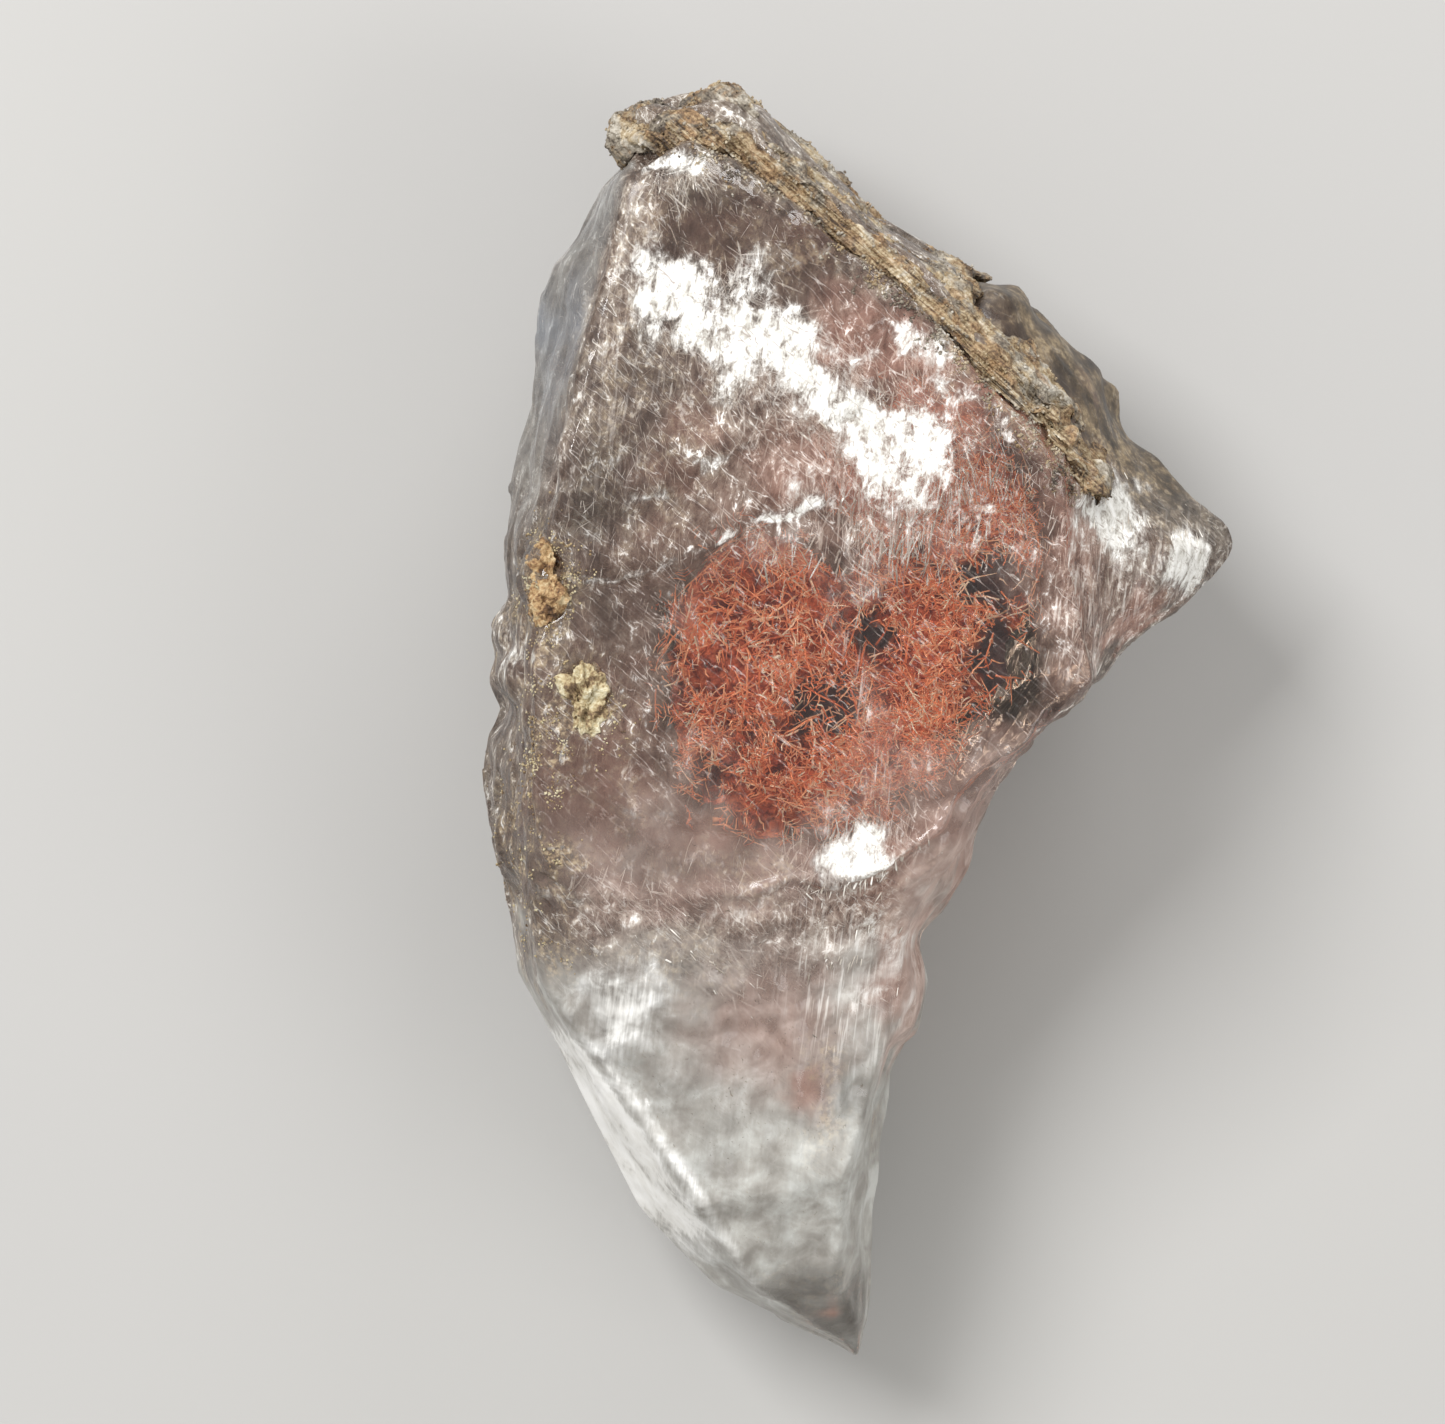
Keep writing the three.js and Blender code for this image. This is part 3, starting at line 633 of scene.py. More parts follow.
# Where copper under the surface flushes the crystal pink.
FLUSHES = (
    (0.7, (3.4, -3.4), (2.2, 4.4), -35, 0.6), (0.6, (1.9, -9.6), (1.4, 3.4), 0, 0.6),
    (0.6, (-3.4, -11.0), (2.6, 2.4), 10, 0.8), (0.65, (-4.6, -4.6), (4.6, 2.4), 0, 0.8),
    (0.5, (-5.4, -1.6), (2.6, 2.2), 0, 0.8), (0.85, (-5.2, -3.9), (3.6, 1.5), 8, 0.9),
    (0.5, (3.0, -1.8), (3.6, 2.4), -20, 0.7), (0.75, (-9.2, -2.6), (2.8, 3.4), 0, 0.8),
    (0.7, (-1.2, 9.2), (3.2, 1.8), -10, 0.8), (0.5, (1.4, 13.0), (3.0, 2.0), -30, 0.8),
    (0.6, (-6.4, -5.8), (4.2, 1.4), 0, 0.9), (0.75, (6.6, 8.2), (2.0, 4.4), 16, 0.7),
    (0.8, (10.4, 3.4), (1.8, 0.9), 35, 0.6), (0.5, (-8.4, -5.0), (3.0, 2.4), 0, 0.8),
    (1.1, (0.6, 14.3), (2.4, 1.3), -25, 0.7), (1.1, (2.8, 12.3), (2.8, 1.3), -30, 0.7),
    (0.6, (1.6, 8.8), (4.2, 2.2), -20, 0.8), (0.5, (1.4, -8.0), (0.9, 1.2), 0, 0.7),
    (0.5, (-6.0, 11.2), (1.4, 1.2), 0, 0.8), (0.45, (-5.6, 18.4), (2.2, 1.5), 0, 0.6),
    (0.5, (-1.9, 17.2), (1.4, 1.3), 0, 0.6), (0.5, (-7.4, 9.4), (1.5, 1.0), 0, 0.7))

# The wide rosy halo of the tangle.
HALO = (
    (0.72, (-3.6, 1.2), (6.6, 7.6), 0, 0.6), (0.72, (3.4, 2.6), (5.8, 6.0), 0, 0.6),
    (0.3, (-1.6, 2.4), (10.4, 11.6), 0, 0.8))

# Small pink spots of the blade.
TIP_FLUSHES = (
    (1.0, (-0.9, -22.2), (0.45, 0.38), 0, 0.9), (0.8, (-1.9, -13.8), (0.9, 1.0), 0, 0.8))

# Where the crystal is tawny; in the first row, the side beside the crust, its darkness is painted shade.
AMBER_AND_SHADE = (
    (1.0, (8.9, 12.6), (7.6, 2.6), -43, 0.4), (0.55, (-12.3, -3.2), (1.7, 5.0), 0, 0.6),
    (0.6, (-11.9, 4.6), (1.3, 3.0), 0, 0.6), (0.5, (-10.6, -1.2), (1.6, 2.6), 0, 0.7),
    (0.6, (-5.8, 18.6), (2.6, 1.7), 0, 0.6), (0.6, (-1.9, 17.2), (1.8, 1.5), 0, 0.6),
    (0.45, (-8.4, 11.0), (1.8, 4.4), 0, 0.8), (0.35, (-9.0, 4.0), (2.0, 2.6), 0, 0.8))

# Where the left side is cool and glassy.
COOL = (
    (0.9, (-11.8, 14.6), (1.6, 3.4), -16, 0.8), (0.4, (-9.6, 19.0), (1.2, 1.6), -20, 0.9))

# Where fine parallel lines run.
STRIKES = (
    (0.9, (8.3, 4.6), (0.9, 3.6), 5, 0.6), (0.6, (10.6, 4.6), (2.2, 2.8), 5, 0.7),
    (0.9, (9.8, 6.0), (1.4, 2.6), 12, 0.7), (0.8, (12.8, 5.6), (1.2, 1.8), 20, 0.7),
    (0.7, (-0.8, -9.6), (1.8, 3.2), 6, 0.7), (0.5, (1.4, 7.8), (3.6, 2.2), -10, 0.7),
    (0.4, (-8.8, 13.0), (1.6, 6.0), -10, 0.7))

# Where ochre dust lies on the crystal.
DUSTY = (
    (1, (-11.5, 5.0), (1.2, 2.4), 0, 0.6), (1, (-10.6, 0.4), (1.9, 1.9), 0, 0.6),
    (1, (-11.6, -1.6), (1.0, 2.4), -12, 0.6), (0.4, (-12.2, -4.4), (1.4, 3.6), 0, 0.6),
    (0.3, (-11.0, -8.2), (1.5, 1.3), 0, 0.6))


def patches(spots, rows):
    """The largest of several patches."""
    return np.max([strength * patch(spots, *row) for strength, *row in rows], axis=0)


def paint_crystal(crystal):
    """Where the crystal is milky, white with cleavage and painted highlights, stained, flushed pink or smoky."""
    plain = points_of(crystal)
    out = normals_of(crystal)
    x, y, z = plain.T
    front = rise(z, 11.0, 13.5) * rise(out[:, 2], 0.0, 0.5)
    upward = rise(out[:, 2], 0.15, 0.5)
    ridge, left = from_line(plain, LEFT_RIDGE)
    outer = np.where((y < 21) & (x < -3), rise(ridge * np.where(left < 0, 1, -1), 0.0, 0.5), 0)
    clouds = rough(plain, 2.6, 3, 8.0)
    tufts = rough(plain, 1.1, 3, 6.0)
    # The outlines of the areas stray a little, and more so on the lower sides.
    below = fall(z, 8.0, 13.0) * fall(out[:, 2], 0.3, 0.65)
    spots = plain.copy()
    spots[:, 0] += 0.8 * rough(plain, 1.6, 3, 11.0) + 2.6 * below * rough(plain, 3.0, 3, 23.0)
    spots[:, 1] += 0.8 * rough(plain, 1.6, 3, 17.0) + 3.4 * below * rough(plain, 3.0, 3, 29.0)

    milk = by_y(spots, MILK)
    milk += 0.10 * tufts + 0.10 * clouds
    milk -= front * patches(spots, CLEARER)
    milk += patches(spots, MILKIER)
    milk += 0.05 * fall(out[:, 2], 0.1, 0.6) * rise(z, 1, 4)
    milk -= 0.12 * outer * rise(y, -2, 4)
    milk += 0.55 * patch(spots, (8.9, 12.8), (7.0, 2.4), -43, 0.5)
    milk -= upward * patches(spots, CLEARER_BLADE)
    milk += 0.3 * upward * patch(spots, (-0.9, -22.2), (0.5, 0.42), 0, 0.9)
    milk -= 0.05 * patch(spots, (-7.4, 13.0), (3.4, 6.0), -8, 0.8)
    milk += 0.16 * patch(plain, (2.9, -6.2), (3.2, 1.4), 65, 0.6)
    paint(crystal, "milk", milk)

    drift = 3.0 * clouds * fall(z, 12.5, 14.5) + 0.8 * clouds
    paint(crystal, "calm",
          rise(drift - y, 6.5, 10.5),
          0.7 * outer * rise(y + 2.4 * clouds, 6, 11),
          0.75 * patch(spots, (8.9, 12.9), (7.0, 2.2), -43, 0.5),
          front * patches(spots, CALM),
          0.92 * patch(plain, (3.5, -4.9), (4.4, 1.5), 65, 0.5))

    broken, _ = from_line(spots, BROKEN_EDGE)
    seam, _ = from_line(spots, SEAM)
    crease, _ = from_line(spots, RIGHT_CREASE)
    bladed, bladed_side = from_line(plain, BLADE_RIDGE)
    band, _ = from_line(spots, GLARE)
    high = rise(z + 3.0 * clouds, 6.5, 11.0)
    bevel = rise(-bladed * bladed_side, -0.1, 0.7) * rise(-y, 10.0, 12.5)
    rim = np.abs(seam + 0.4 * tufts - 0.9)
    rim_share = rise(y, 9.5, 10.5) * fall(y, 14.5, 15.5) * (0.62 + 0.5 * tufts)
    sheets = []
    # Painted highlights along the edges of the sheets' steps.
    for line, _, sheen in SHEETS:
        distance, left = from_line(plain, line)
        gap = np.abs(distance * left + 0.35 * rough(plain, 1.3, 3, 4.0))
        amount = sheen * (1 + 0.9 * clouds) * (1 - 0.5 * rise(x, -3, 1))
        sheets.append(front * amount * fall(gap + 0.25 * tufts, 0.05, 0.4))
    # Painted highlights and glints, partly real white cleavage: band, right point, edges, seam, ridge, bevel,
    # steps.
    paint(crystal, "glare",
          0.95 * front * fall(band + 0.8 * tufts + 0.5 * clouds, 0.3, 3.0) * (1 - patches(spots, GLARE_GAPS)),
          front * patches(spots, SHEENS),
          high * patches(spots, SIDE_SHEENS),
          (1.02 + 0.25 * clouds) * bevel * fall(-y, 18.5, 22.5),
          0.42 * fall(broken, 0.1, 0.7) * rise(z, 13, 14) * fall(x, 0.8, 2.4),
          0.45 * fall(crease, 0.1, 0.5),
          front * rim_share * fall(rim, 0.15, 0.75),
          by_y(spots, RIDGE_LIGHT) * fall(bladed, 0.0, 0.7) * rise(z, 7, 9),
          *sheets)

    paint(crystal, "stain", patches(spots, STAINS), 0.55 * fall(seam, 0.1, 0.9))
    paint(crystal, "marks", patches(spots, MARKS))
    paint(crystal, "flush", patches(spots, FLUSHES), front * patches(spots, HALO),
          upward * patches(spots, TIP_FLUSHES))
    paint(crystal, "scratched", rise(out[:, 2], 0.35, 0.75))
    paint(crystal, "amber", patches(spots, AMBER_AND_SHADE))
    # Cool only high up on the left side, fraying out downwards.
    cool = patches(spots, COOL)
    paint(crystal, "cool", outer * cool * (0.8 + 0.5 * clouds) * rise(z + 3.0 * clouds, 5.5, 12.5))
    bundle, _ = from_line(plain, BUNDLE)
    paint(crystal, "strike", patches(spots, STRIKES), 0.9 * fall(bundle, 0.15, 0.55))


SMOKE = 85.0     # how much the crystal's body absorbs, for each metre of it


def selenite_finish():
    """Clear gypsum under a milky skin that breaks up into frosty cleavage, lines, painted highlights and stains.
    """
    f = Finish("selenite")
    milk, glare, stain, flush, calm, strike = [
        f.painted(name) for name in ("milk", "glare", "stain", "flush", "calm", "strike")]
    cloud = f.grain(1.5, 0, 3, 0.6, 0.4)
    frost = f.grain((0.42, 0.75, 0.4), -10, 6, 0.78, 0.4)
    fibres = f.grain((0.12, 2.2, 1.4), -7, 2, 0.6, 0.2)
    lint = f.grain((0.42, 2.6, 1.2), 48, 2, 0.5, 0.25)
    hairs = (1 - f.step(f.math("ABSOLUTE", lint - 0.5), 0.0, 0.011)) * f.painted("scratched")
    amber = f.painted("amber")
    busy = (1 - calm * 0.93) * (1 - amber * 0.6)
    flecks = f.step(frost, 0.565, 0.63) * busy * (0.35 + 0.65 * f.step(cloud, 0.44, 0.58))
    lines = f.step(fibres, 0.53, 0.66) * strike

    veil = milk * (1.02 + 0.9 * (cloud - 0.5) + 2.4 * (frost - 0.5) * busy)
    veil = veil + f.larger(flecks * 0.45 * f.step(milk, 0.06, 0.36), lines * 0.4, hairs * busy * 0.4)
    feather = (frost - 0.5) * 1.9 * busy + (cloud - 0.5) * 0.8 + (fibres - 0.5) * 0.4
    # The glare attribute's painted highlights, partly real white cleavage.
    sheen = f.step(glare + feather, 0.34, 0.96)
    soiled = stain * f.step(cloud * 0.5 + frost * 0.5, 0.45, 0.56)

    marks = f.step(f.grain((0.16, 0.3, 0.2), 35, 3, 0.75, 1.2, (3, 1, 7)), 0.63, 0.70) * f.painted("marks")
    cover = f.math("MINIMUM", f.larger(veil, sheen * 0.97, soiled * 0.75, marks * 0.8), 0.97)

    tone = cloud + (frost - cloud) * (0.65 - 0.4 * calm)
    pale = f.ramp(tone, (0.40, (0.08, 0.048, 0.036)), (0.49, (0.215, 0.16, 0.127)), (0.56, (0.43, 0.375, 0.32)),
                  (0.64, (0.78, 0.74, 0.68)))
    milky = f.ramp(tone * 0.9 + fibres * 0.1, (0.38, (0.335, 0.315, 0.285)), (0.5, (0.42, 0.41, 0.38)),
                   (0.62, (0.52, 0.525, 0.50)))
    # Tawny tint, darkened to painted shade on the side beside the crust.
    tawny = f.ramp(tone, (0.40, (0.025, 0.017, 0.010)), (0.5, (0.065, 0.046, 0.027)),
                   (0.62, (0.20, 0.155, 0.095)))
    ground = f.blend(amber, f.blend(calm, pale, milky), tawny)
    ground = f.blend(f.painted("cool") * 0.75, ground, (0.31, 0.345, 0.395))
    rosy = f.blend(flush * 0.75, ground, f.blend(tone, (0.38, 0.11, 0.065), (0.72, 0.44, 0.35)))
    specks = f.grain(0.24, 0, 2, 0.7, 0.0, (5, 2, 1))
    earth = f.ramp(specks, (0.38, (0.04, 0.024, 0.014)), (0.5, (0.21, 0.14, 0.08)), (0.62, (0.48, 0.37, 0.22)))
    dirty = f.blend(f.larger(soiled, marks), rosy, f.blend(marks, earth, (0.05, 0.035, 0.025)))
    bright = f.ramp(0.52 + calm * (0.05 + 0.45 * (cloud - 0.5)) + (frost - 0.52) * busy,
                    (0.40, (0.42, 0.40, 0.36)), (0.53, (0.72, 0.71, 0.68)), (0.62, (0.84, 0.835, 0.82)))
    frosty = f.blend(f.larger(sheen, flecks * 0.8, lines * 0.6, hairs * busy * 0.7), dirty, bright)
    white = f.blend(hairs * busy * sheen * 0.85, frosty, (0.24, 0.19, 0.16))

    clear = f.surface(Base_Color=(1.0, 1.0, 1.0), Roughness=0.2 * f.step(milk, 0.25, 0.8),
                      Transmission_Weight=1.0, IOR=1.52)
    skin = f.surface(Base_Color=white, Roughness=0.34 + 0.26 * cloud, IOR=1.52,
                     Normal=f.bump((frost + fibres * 0.4) * (1 - calm * 0.85), 0.55, 0.07))
    whole = f.add("ShaderNodeMixShader", None, {0: cover, 1: clear, 2: skin})
    smoke = f.add("ShaderNodeVolumeAbsorption", None, {"Color": (0.52, 0.42, 0.32, 1), "Density": SMOKE})
    return f.done(whole, smoke)


# ---- Copper ---------------------------------------------------------------------------------------------

# Dark windows in the tangle, as a centre, a size in plan and how open each is, and the needles that cross them.
WINDOWS = (((4.9, 5.3), (1.5, 1.0), 0.95), ((5.3, 2.3), (1.1, 1.5), 0.95), ((-1.1, 0.6), (1.4, 1.3), 0.82),
           ((0.5, 3.2), (0.9, 0.8), 0.85), ((-5.9, -2.0), (0.9, 0.6), 0.6), ((-3.2, -0.4), (1.6, 0.5), 0.4),
           ((3.2, -1.6), (1.2, 0.6), 0.4), ((2.2, 6.2), (0.6, 1.0), 0.5))
CROSSINGS = (
    ((5.0, 3.3), (4.8, 2.1)), ((4.85, 2.6), (4.0, 1.5)), ((4.8, 2.5), (5.5, 1.4)), ((4.8, 2.3), (4.7, 1.2)),
    ((2.8, 4.8), (5.1, 5.6)), ((5.0, 5.5), (6.3, 4.6)), ((3.4, 6.2), (4.3, 4.4)), ((6.6, 3.8), (5.2, 4.3)),
    ((6.7, 2.4), (5.5, 3.2)), ((-2.2, 1.4), (-0.3, 0.2)), ((-0.4, 4.2), (1.1, 2.6)), ((0.9, 4.1), (0.0, 2.4)))
# The tangle's lobes, each a centre and a size, and how much of the tangle grows in each.
LOBES = [((-3.8, 1.7, 12.0), (4.4, 6.8, 3.4)), ((3.0, 3.6, 12.1), (4.2, 4.4, 3.2)),
         ((-0.6, -1.2, 11.9), (3.8, 4.0, 3.1)), ((2.4, -0.6, 13.0), (2.0, 2.3, 1.9)),
         ((2.2, 9.6, 12.0), (3.9, 4.0, 3.0)), ((4.9, 7.0, 12.2), (2.5, 3.6, 2.9))]
LOBE_SHARES = (34, 24, 12, 5, 17, 8)
FELT_VOXEL = 0.16
FELT_DEPTH = 1.3     # how far the felt lies inside the copper's form


def needle(name, chance):
    """A unit needle along +Z: a three-sided wire that wanders a little and comes to a point."""
    bpy.ops.mesh.primitive_circle_add(vertices=3, radius=1.0, fill_type="NGON", location=(0, 0, 0))
    wire = bpy.context.object
    wire.name = name
    with editing(wire):
        for size in (0.9, 0.85, 0.35):
            step = (chance.uniform(-1.6, 1.6), chance.uniform(-1.6, 1.6), 1 / 3)
            bpy.ops.mesh.extrude_region_move(TRANSFORM_OT_translate={"value": step})
            bpy.ops.transform.resize(value=(size, size, 1))
        bpy.ops.mesh.select_all(action="SELECT")
        bpy.ops.mesh.normals_make_consistent(inside=False)
        bpy.ops.transform.resize(value=(MM, MM, MM), center_override=(0, 0, 0))
    return wire


def inside_lobes(spot, margin):
    """Whether a place lies in the tangle's form, by at least this margin."""
    return any(sum(((spot[i] - at[i]) / (size[i] - margin)) ** 2 for i in range(3)) < 1 for at, size in LOBES)


def any_way(chance):
    aim = Vector((chance.gauss(0, 1), chance.gauss(0, 1), chance.gauss(0, 0.75)))
    return aim.normalized() if aim.length > 0.01 else Vector((1, 0, 0))


def sprig(chance, root, aim, length, thick):
    """A stem with side branches in two rows, as copper grows."""
    wires = [(root, aim, length, thick)]
    flat = aim.cross(any_way(chance))
    if flat.length < 0.1:
        return wires
    flat.normalize()
    side = aim.cross(flat)
    at = 0.18
    while at < 0.9:
        for hand in (-1, 1):
            if chance.random() < 0.78:
                lean = math.radians(chance.uniform(48, 66))
                branch = aim * math.cos(lean) + side * (hand * math.sin(lean))
                reach = length * (1.05 - at) * chance.uniform(0.28, 0.5)
                wires.append((root + aim * (length * at), branch, reach, thick * 0.75))
        at += chance.uniform(0.12, 0.2)
    return wires


def crossing_wires(chance, thick):
    """The long needles that cross the windows, with a few branches."""
    wires = []
    for (ax, ay), (bx, by) in CROSSINGS:
        root, tip = Vector((ax, ay, chance.uniform(13.9, 14.3))), Vector((bx, by, chance.uniform(14.2, 14.5)))
        wires += sprig(chance, root, (tip - root).normalized(), (tip - root).length, thick)[:3]
    return wires


def openness(spots):
    """How open the tangle is at each place: 1 in the middle of the clearest window."""
    stray = np.column_stack([rough(spots, 0.9, 2, 4.0), rough(spots, 0.9, 2, 7.0), spots[:, 2] * 0])
    return patches(spots + stray * 0.7, [(share, at, size, 0, 0.45) for at, size, share in WINDOWS])


def copper_wires(name, seed, count, depth, lengths, thickness, shapes, crossings=False):
    """One piece of the tangle: sprigs that grow from random places between two heights."""
    chance = random.Random(seed)
    wires = []
    while len(wires) < count * 2.2:
        lobe, size = chance.choices(LOBES, LOBE_SHARES)[0]
        spot = Vector([at + r * chance.uniform(-1, 1) for at, r in zip(lobe, size)])
        dense = 0.75 + 1.6 * noise.fractal(spot / 1.6, 1.0, 2.0, 2)
        if depth[0] < spot.z < depth[1] and inside_lobes(spot, 0.2) and chance.random() < dense:
            wires += sprig(chance, spot, any_way(chance), chance.uniform(*lengths),
                           thickness * chance.uniform(0.75, 1.25))
    middles = np.array([root + aim * (length * 0.5) for root, aim, length, _ in wires])
    tips = np.array([root + aim * length for root, aim, length, _ in wires])
    gaps = np.maximum(openness(middles), openness(tips))
    wires = [wire for wire, gap in zip(wires, gaps) if chance.random() > gap * 1.1]
    if crossings:
        wires = crossing_wires(chance, thickness * 1.1) + wires
    places = []
    for root, aim, length, thick in wires:
        tip = root + aim * length
        if inside_lobes(tip, 0.05) and inside_lobes(root, 0.05) and tip.z < FRONT:
            kind = chance.randrange(len(shapes))
            places.append((kind, set_at(root, aim, length, thick, chance.uniform(0, 6.3))))
    return strewn(name, shapes, places[:count])


def copper_finish(name, each, *tones):
    """Copper in four tones; each is how much a wire's own tone counts against the tangle's patches."""
    f = Finish(name)
    own = f.add("ShaderNodeNewGeometry", output="Random Per Island")
    tone = f.grain(1.3, 0, 3, 0.6, 0.5)
    fine = f.grain(0.22, 0, 2, 0.6)
    share = (tone * 0.6 + fine * 0.4) * (1 - each) + (0.30 + 0.42 * own) * each
    lit = f.ramp(share, *zip((0.36, 0.46, 0.56, 0.64), tones))
    # Painted shade, darker still where the felt is pitted.
    colour = f.blend(f.painted("shade"), lit, (0.13, 0.095, 0.10))
    gloss = 0.30 + 0.3 * fine
    # Painted glow: the copper emits a faint light of its own colour.
    return f.done(f.surface(Base_Color=colour, Emission_Color=colour, Emission_Strength=PAINTED_GLOW,
                            Metallic=0.25, Specular_IOR_Level=0.2, Roughness=gloss,
                            Normal=f.bump(fine, 0.3, 0.02)))


def copper_felt():
    """The close-matted inside of the tangle, painted shade in darker copper, pitted where the crystal shows
    through.
    """
    felt = merged_copy("copper_felt", "native_copper")
    move_points(felt, points_of(felt) - normals_of(felt) * FELT_DEPTH)
    remesh(felt, FELT_VOXEL)
    spots = points_of(felt)
    relief = 0.5 * rough(spots, 1.1, 3, 2.0) + 0.5 * rough(spots, 2.6, 2, 14.0) + 0.2 * ridged(spots, 0.4, 3.0)
    spots = spots + normals_of(felt) * relief[:, None]
    pits = openness(spots)
    spots[:, 2] -= pits * np.clip(spots[:, 2] - 9.6, 0, 9) * 0.9
    move_points(felt, spots)
    paint(felt, "shade", 0.9 * rise(pits, 0.1, 0.8))
    return felt


# ---- Earthy parts ---------------------------------------------------------------------------------------

JITTER = 0.16    # how far grains stray from the middle of their face


def earthy_mesh(name, node, grow, voxel, grit, seed, form):
    """A node's form grown over its clearance, remeshed fine and roughened to earth."""
    mass = merged_copy(name, node)
    spots = points_of(mass)
    move_points(mass, spots + normals_of(mass) * grow)
    remesh(mass, voxel)
    spots = points_of(mass)
    out = normals_of(mass)
    crumb = 0.5 * rough(spots, 0.8, 3, seed) + 0.45 * rough(spots, 0.22, 2, seed + 2)
    moved = spots + out * (grit * crumb)[:, None] + form(spots, out)
    moved[:, 2] = np.maximum(moved[:, 2], 0.05)
    move_points(mass, moved)
    return mass


def crust_form(spots, out):
    """How far to move the crust's points: a ragged slope that falls away from the seam, in layers."""
    away, side = from_line(spots, SEAM)
    away = away * side
    facing = rise(out[:, 2], 0.0, 0.5)
    slope = FRONT - 0.8 * np.clip(away, 0, 9)
    end = fall(spots[:, 1] - 0.9 * rough(spots, 1.2, 2, 3.0), 9.0, 13.2)
    moves = np.zeros_like(spots)
    moves[:, 2] += facing * (0.55 + 0.4 * end) * np.clip(slope - 0.5 * end - spots[:, 2], -2.0, 0.25)
    layers = ridged(spots @ turn_in_plan(42), (3.2, 0.34, 0.6), 5.0)
    lumps = rough(spots, 1.5, 3, 6.0)
    bites = rise(rough(spots, 1.9, 2, 9.0), 0.22, 0.5)
    beside = fall(np.abs(away), 0.6, 1.6)
    relief = 0.22 * lumps + (0.08 + 0.16 * beside) * (layers - 0.5) - 0.25 * bites
    moves -= FROM_FLANK[2] * (0.55 * end * np.clip(away - 0.6, 0, 4))[:, None]
    moves[:, 1] -= 0.4 * rise(spots[:, 1], 20.5, 23.0)
    return moves + out * (relief - 0.6 * end)[:, None]


def ochre_form(narrowing):
    """How far to move a filling's points: narrower than its pit, ragged, and its rim sunk in the crystal."""
    def moves(spots, out):
        bites = rise(rough(spots, 1.2, 2, 13.0), 0.1, 0.45)
        move = out * (0.3 * rough(spots, 1.3, 2, 8.0) - 0.38 * bites - 0.03)[:, None]
        move[:, 0] += (spots[:, 0].mean() - spots[:, 0]) * narrowing
        return move
    return moves


def turn_in_plan(degrees):
    """A matrix that turns rows of points about Z."""
    angle = math.radians(degrees)
    turn = np.eye(3)
    turn[:2, :2] = [[math.cos(angle), math.sin(angle)], [-math.sin(angle), math.cos(angle)]]
    return turn


def crumb_shape(name, chance):
    """A small angular grain of unit size."""
    bpy.ops.mesh.primitive_ico_sphere_add(subdivisions=1, radius=1.0, location=(0, 0, 0))
    grain = pick(bpy.context.object)
    grain.name = name
    spots = points_of(grain) * MM
    dents = np.array([[1 + chance.uniform(-0.3, 0.25)] for _ in spots])
    move_points(grain, spots * dents)
    return grain


def crumbs(name, seed, count, ground, shapes, sizes, weigh):
    """Grains half sunk in a surface; weigh gives each face's share from its centre and normal."""
    chance = random.Random(seed)
    faces = ground.data.polygons
    centres, normals = read(faces, "center") / MM, read(faces, "normal")
    areas = np.empty(len(faces))
    faces.foreach_get("area", areas)
    shares = areas / areas.mean() * weigh(centres, normals)
    places = []
    for face in chance.choices(range(len(areas)), shares.tolist(), k=count):
        size = chance.uniform(*sizes) * chance.uniform(0.6, 1.0)
        aside = np.cross(normals[face], [chance.uniform(-1, 1) for _ in range(3)]) * JITTER
        turn = np.array(Euler([chance.uniform(0, 6.3) for _ in range(3)]).to_matrix())
        matrix = np.eye(4)
        matrix[:3, :3] = turn @ np.diag([size, size * chance.uniform(0.6, 1), size * chance.uniform(0.5, 1)])
        matrix[:3, 3] = centres[face] + normals[face] * size * 0.15 + aside
        places.append((chance.randrange(len(shapes)), matrix))
    return strewn(name, shapes, places)


def clumped(spots, share):
    """Shares broken up into clumps."""
    return share * rise(rough(spots, 0.75, 2, 2.0) + share * 0.4, 0.26, 0.5)


def on_crust(spots, out):
    return out[:, 2] > -0.3


def beside_crust(spots, out):
    gap, _ = from_line(spots, SEAM)
    return clumped(spots, np.where(out[:, 2] > 0.2, fall(gap, 0.2, 1.3), 0))


def beside_ochre(spots, out):
    pits = patches(spots, DUSTY)
    return clumped(spots, np.where(out[:, 2] > 0.1, pits, 0))


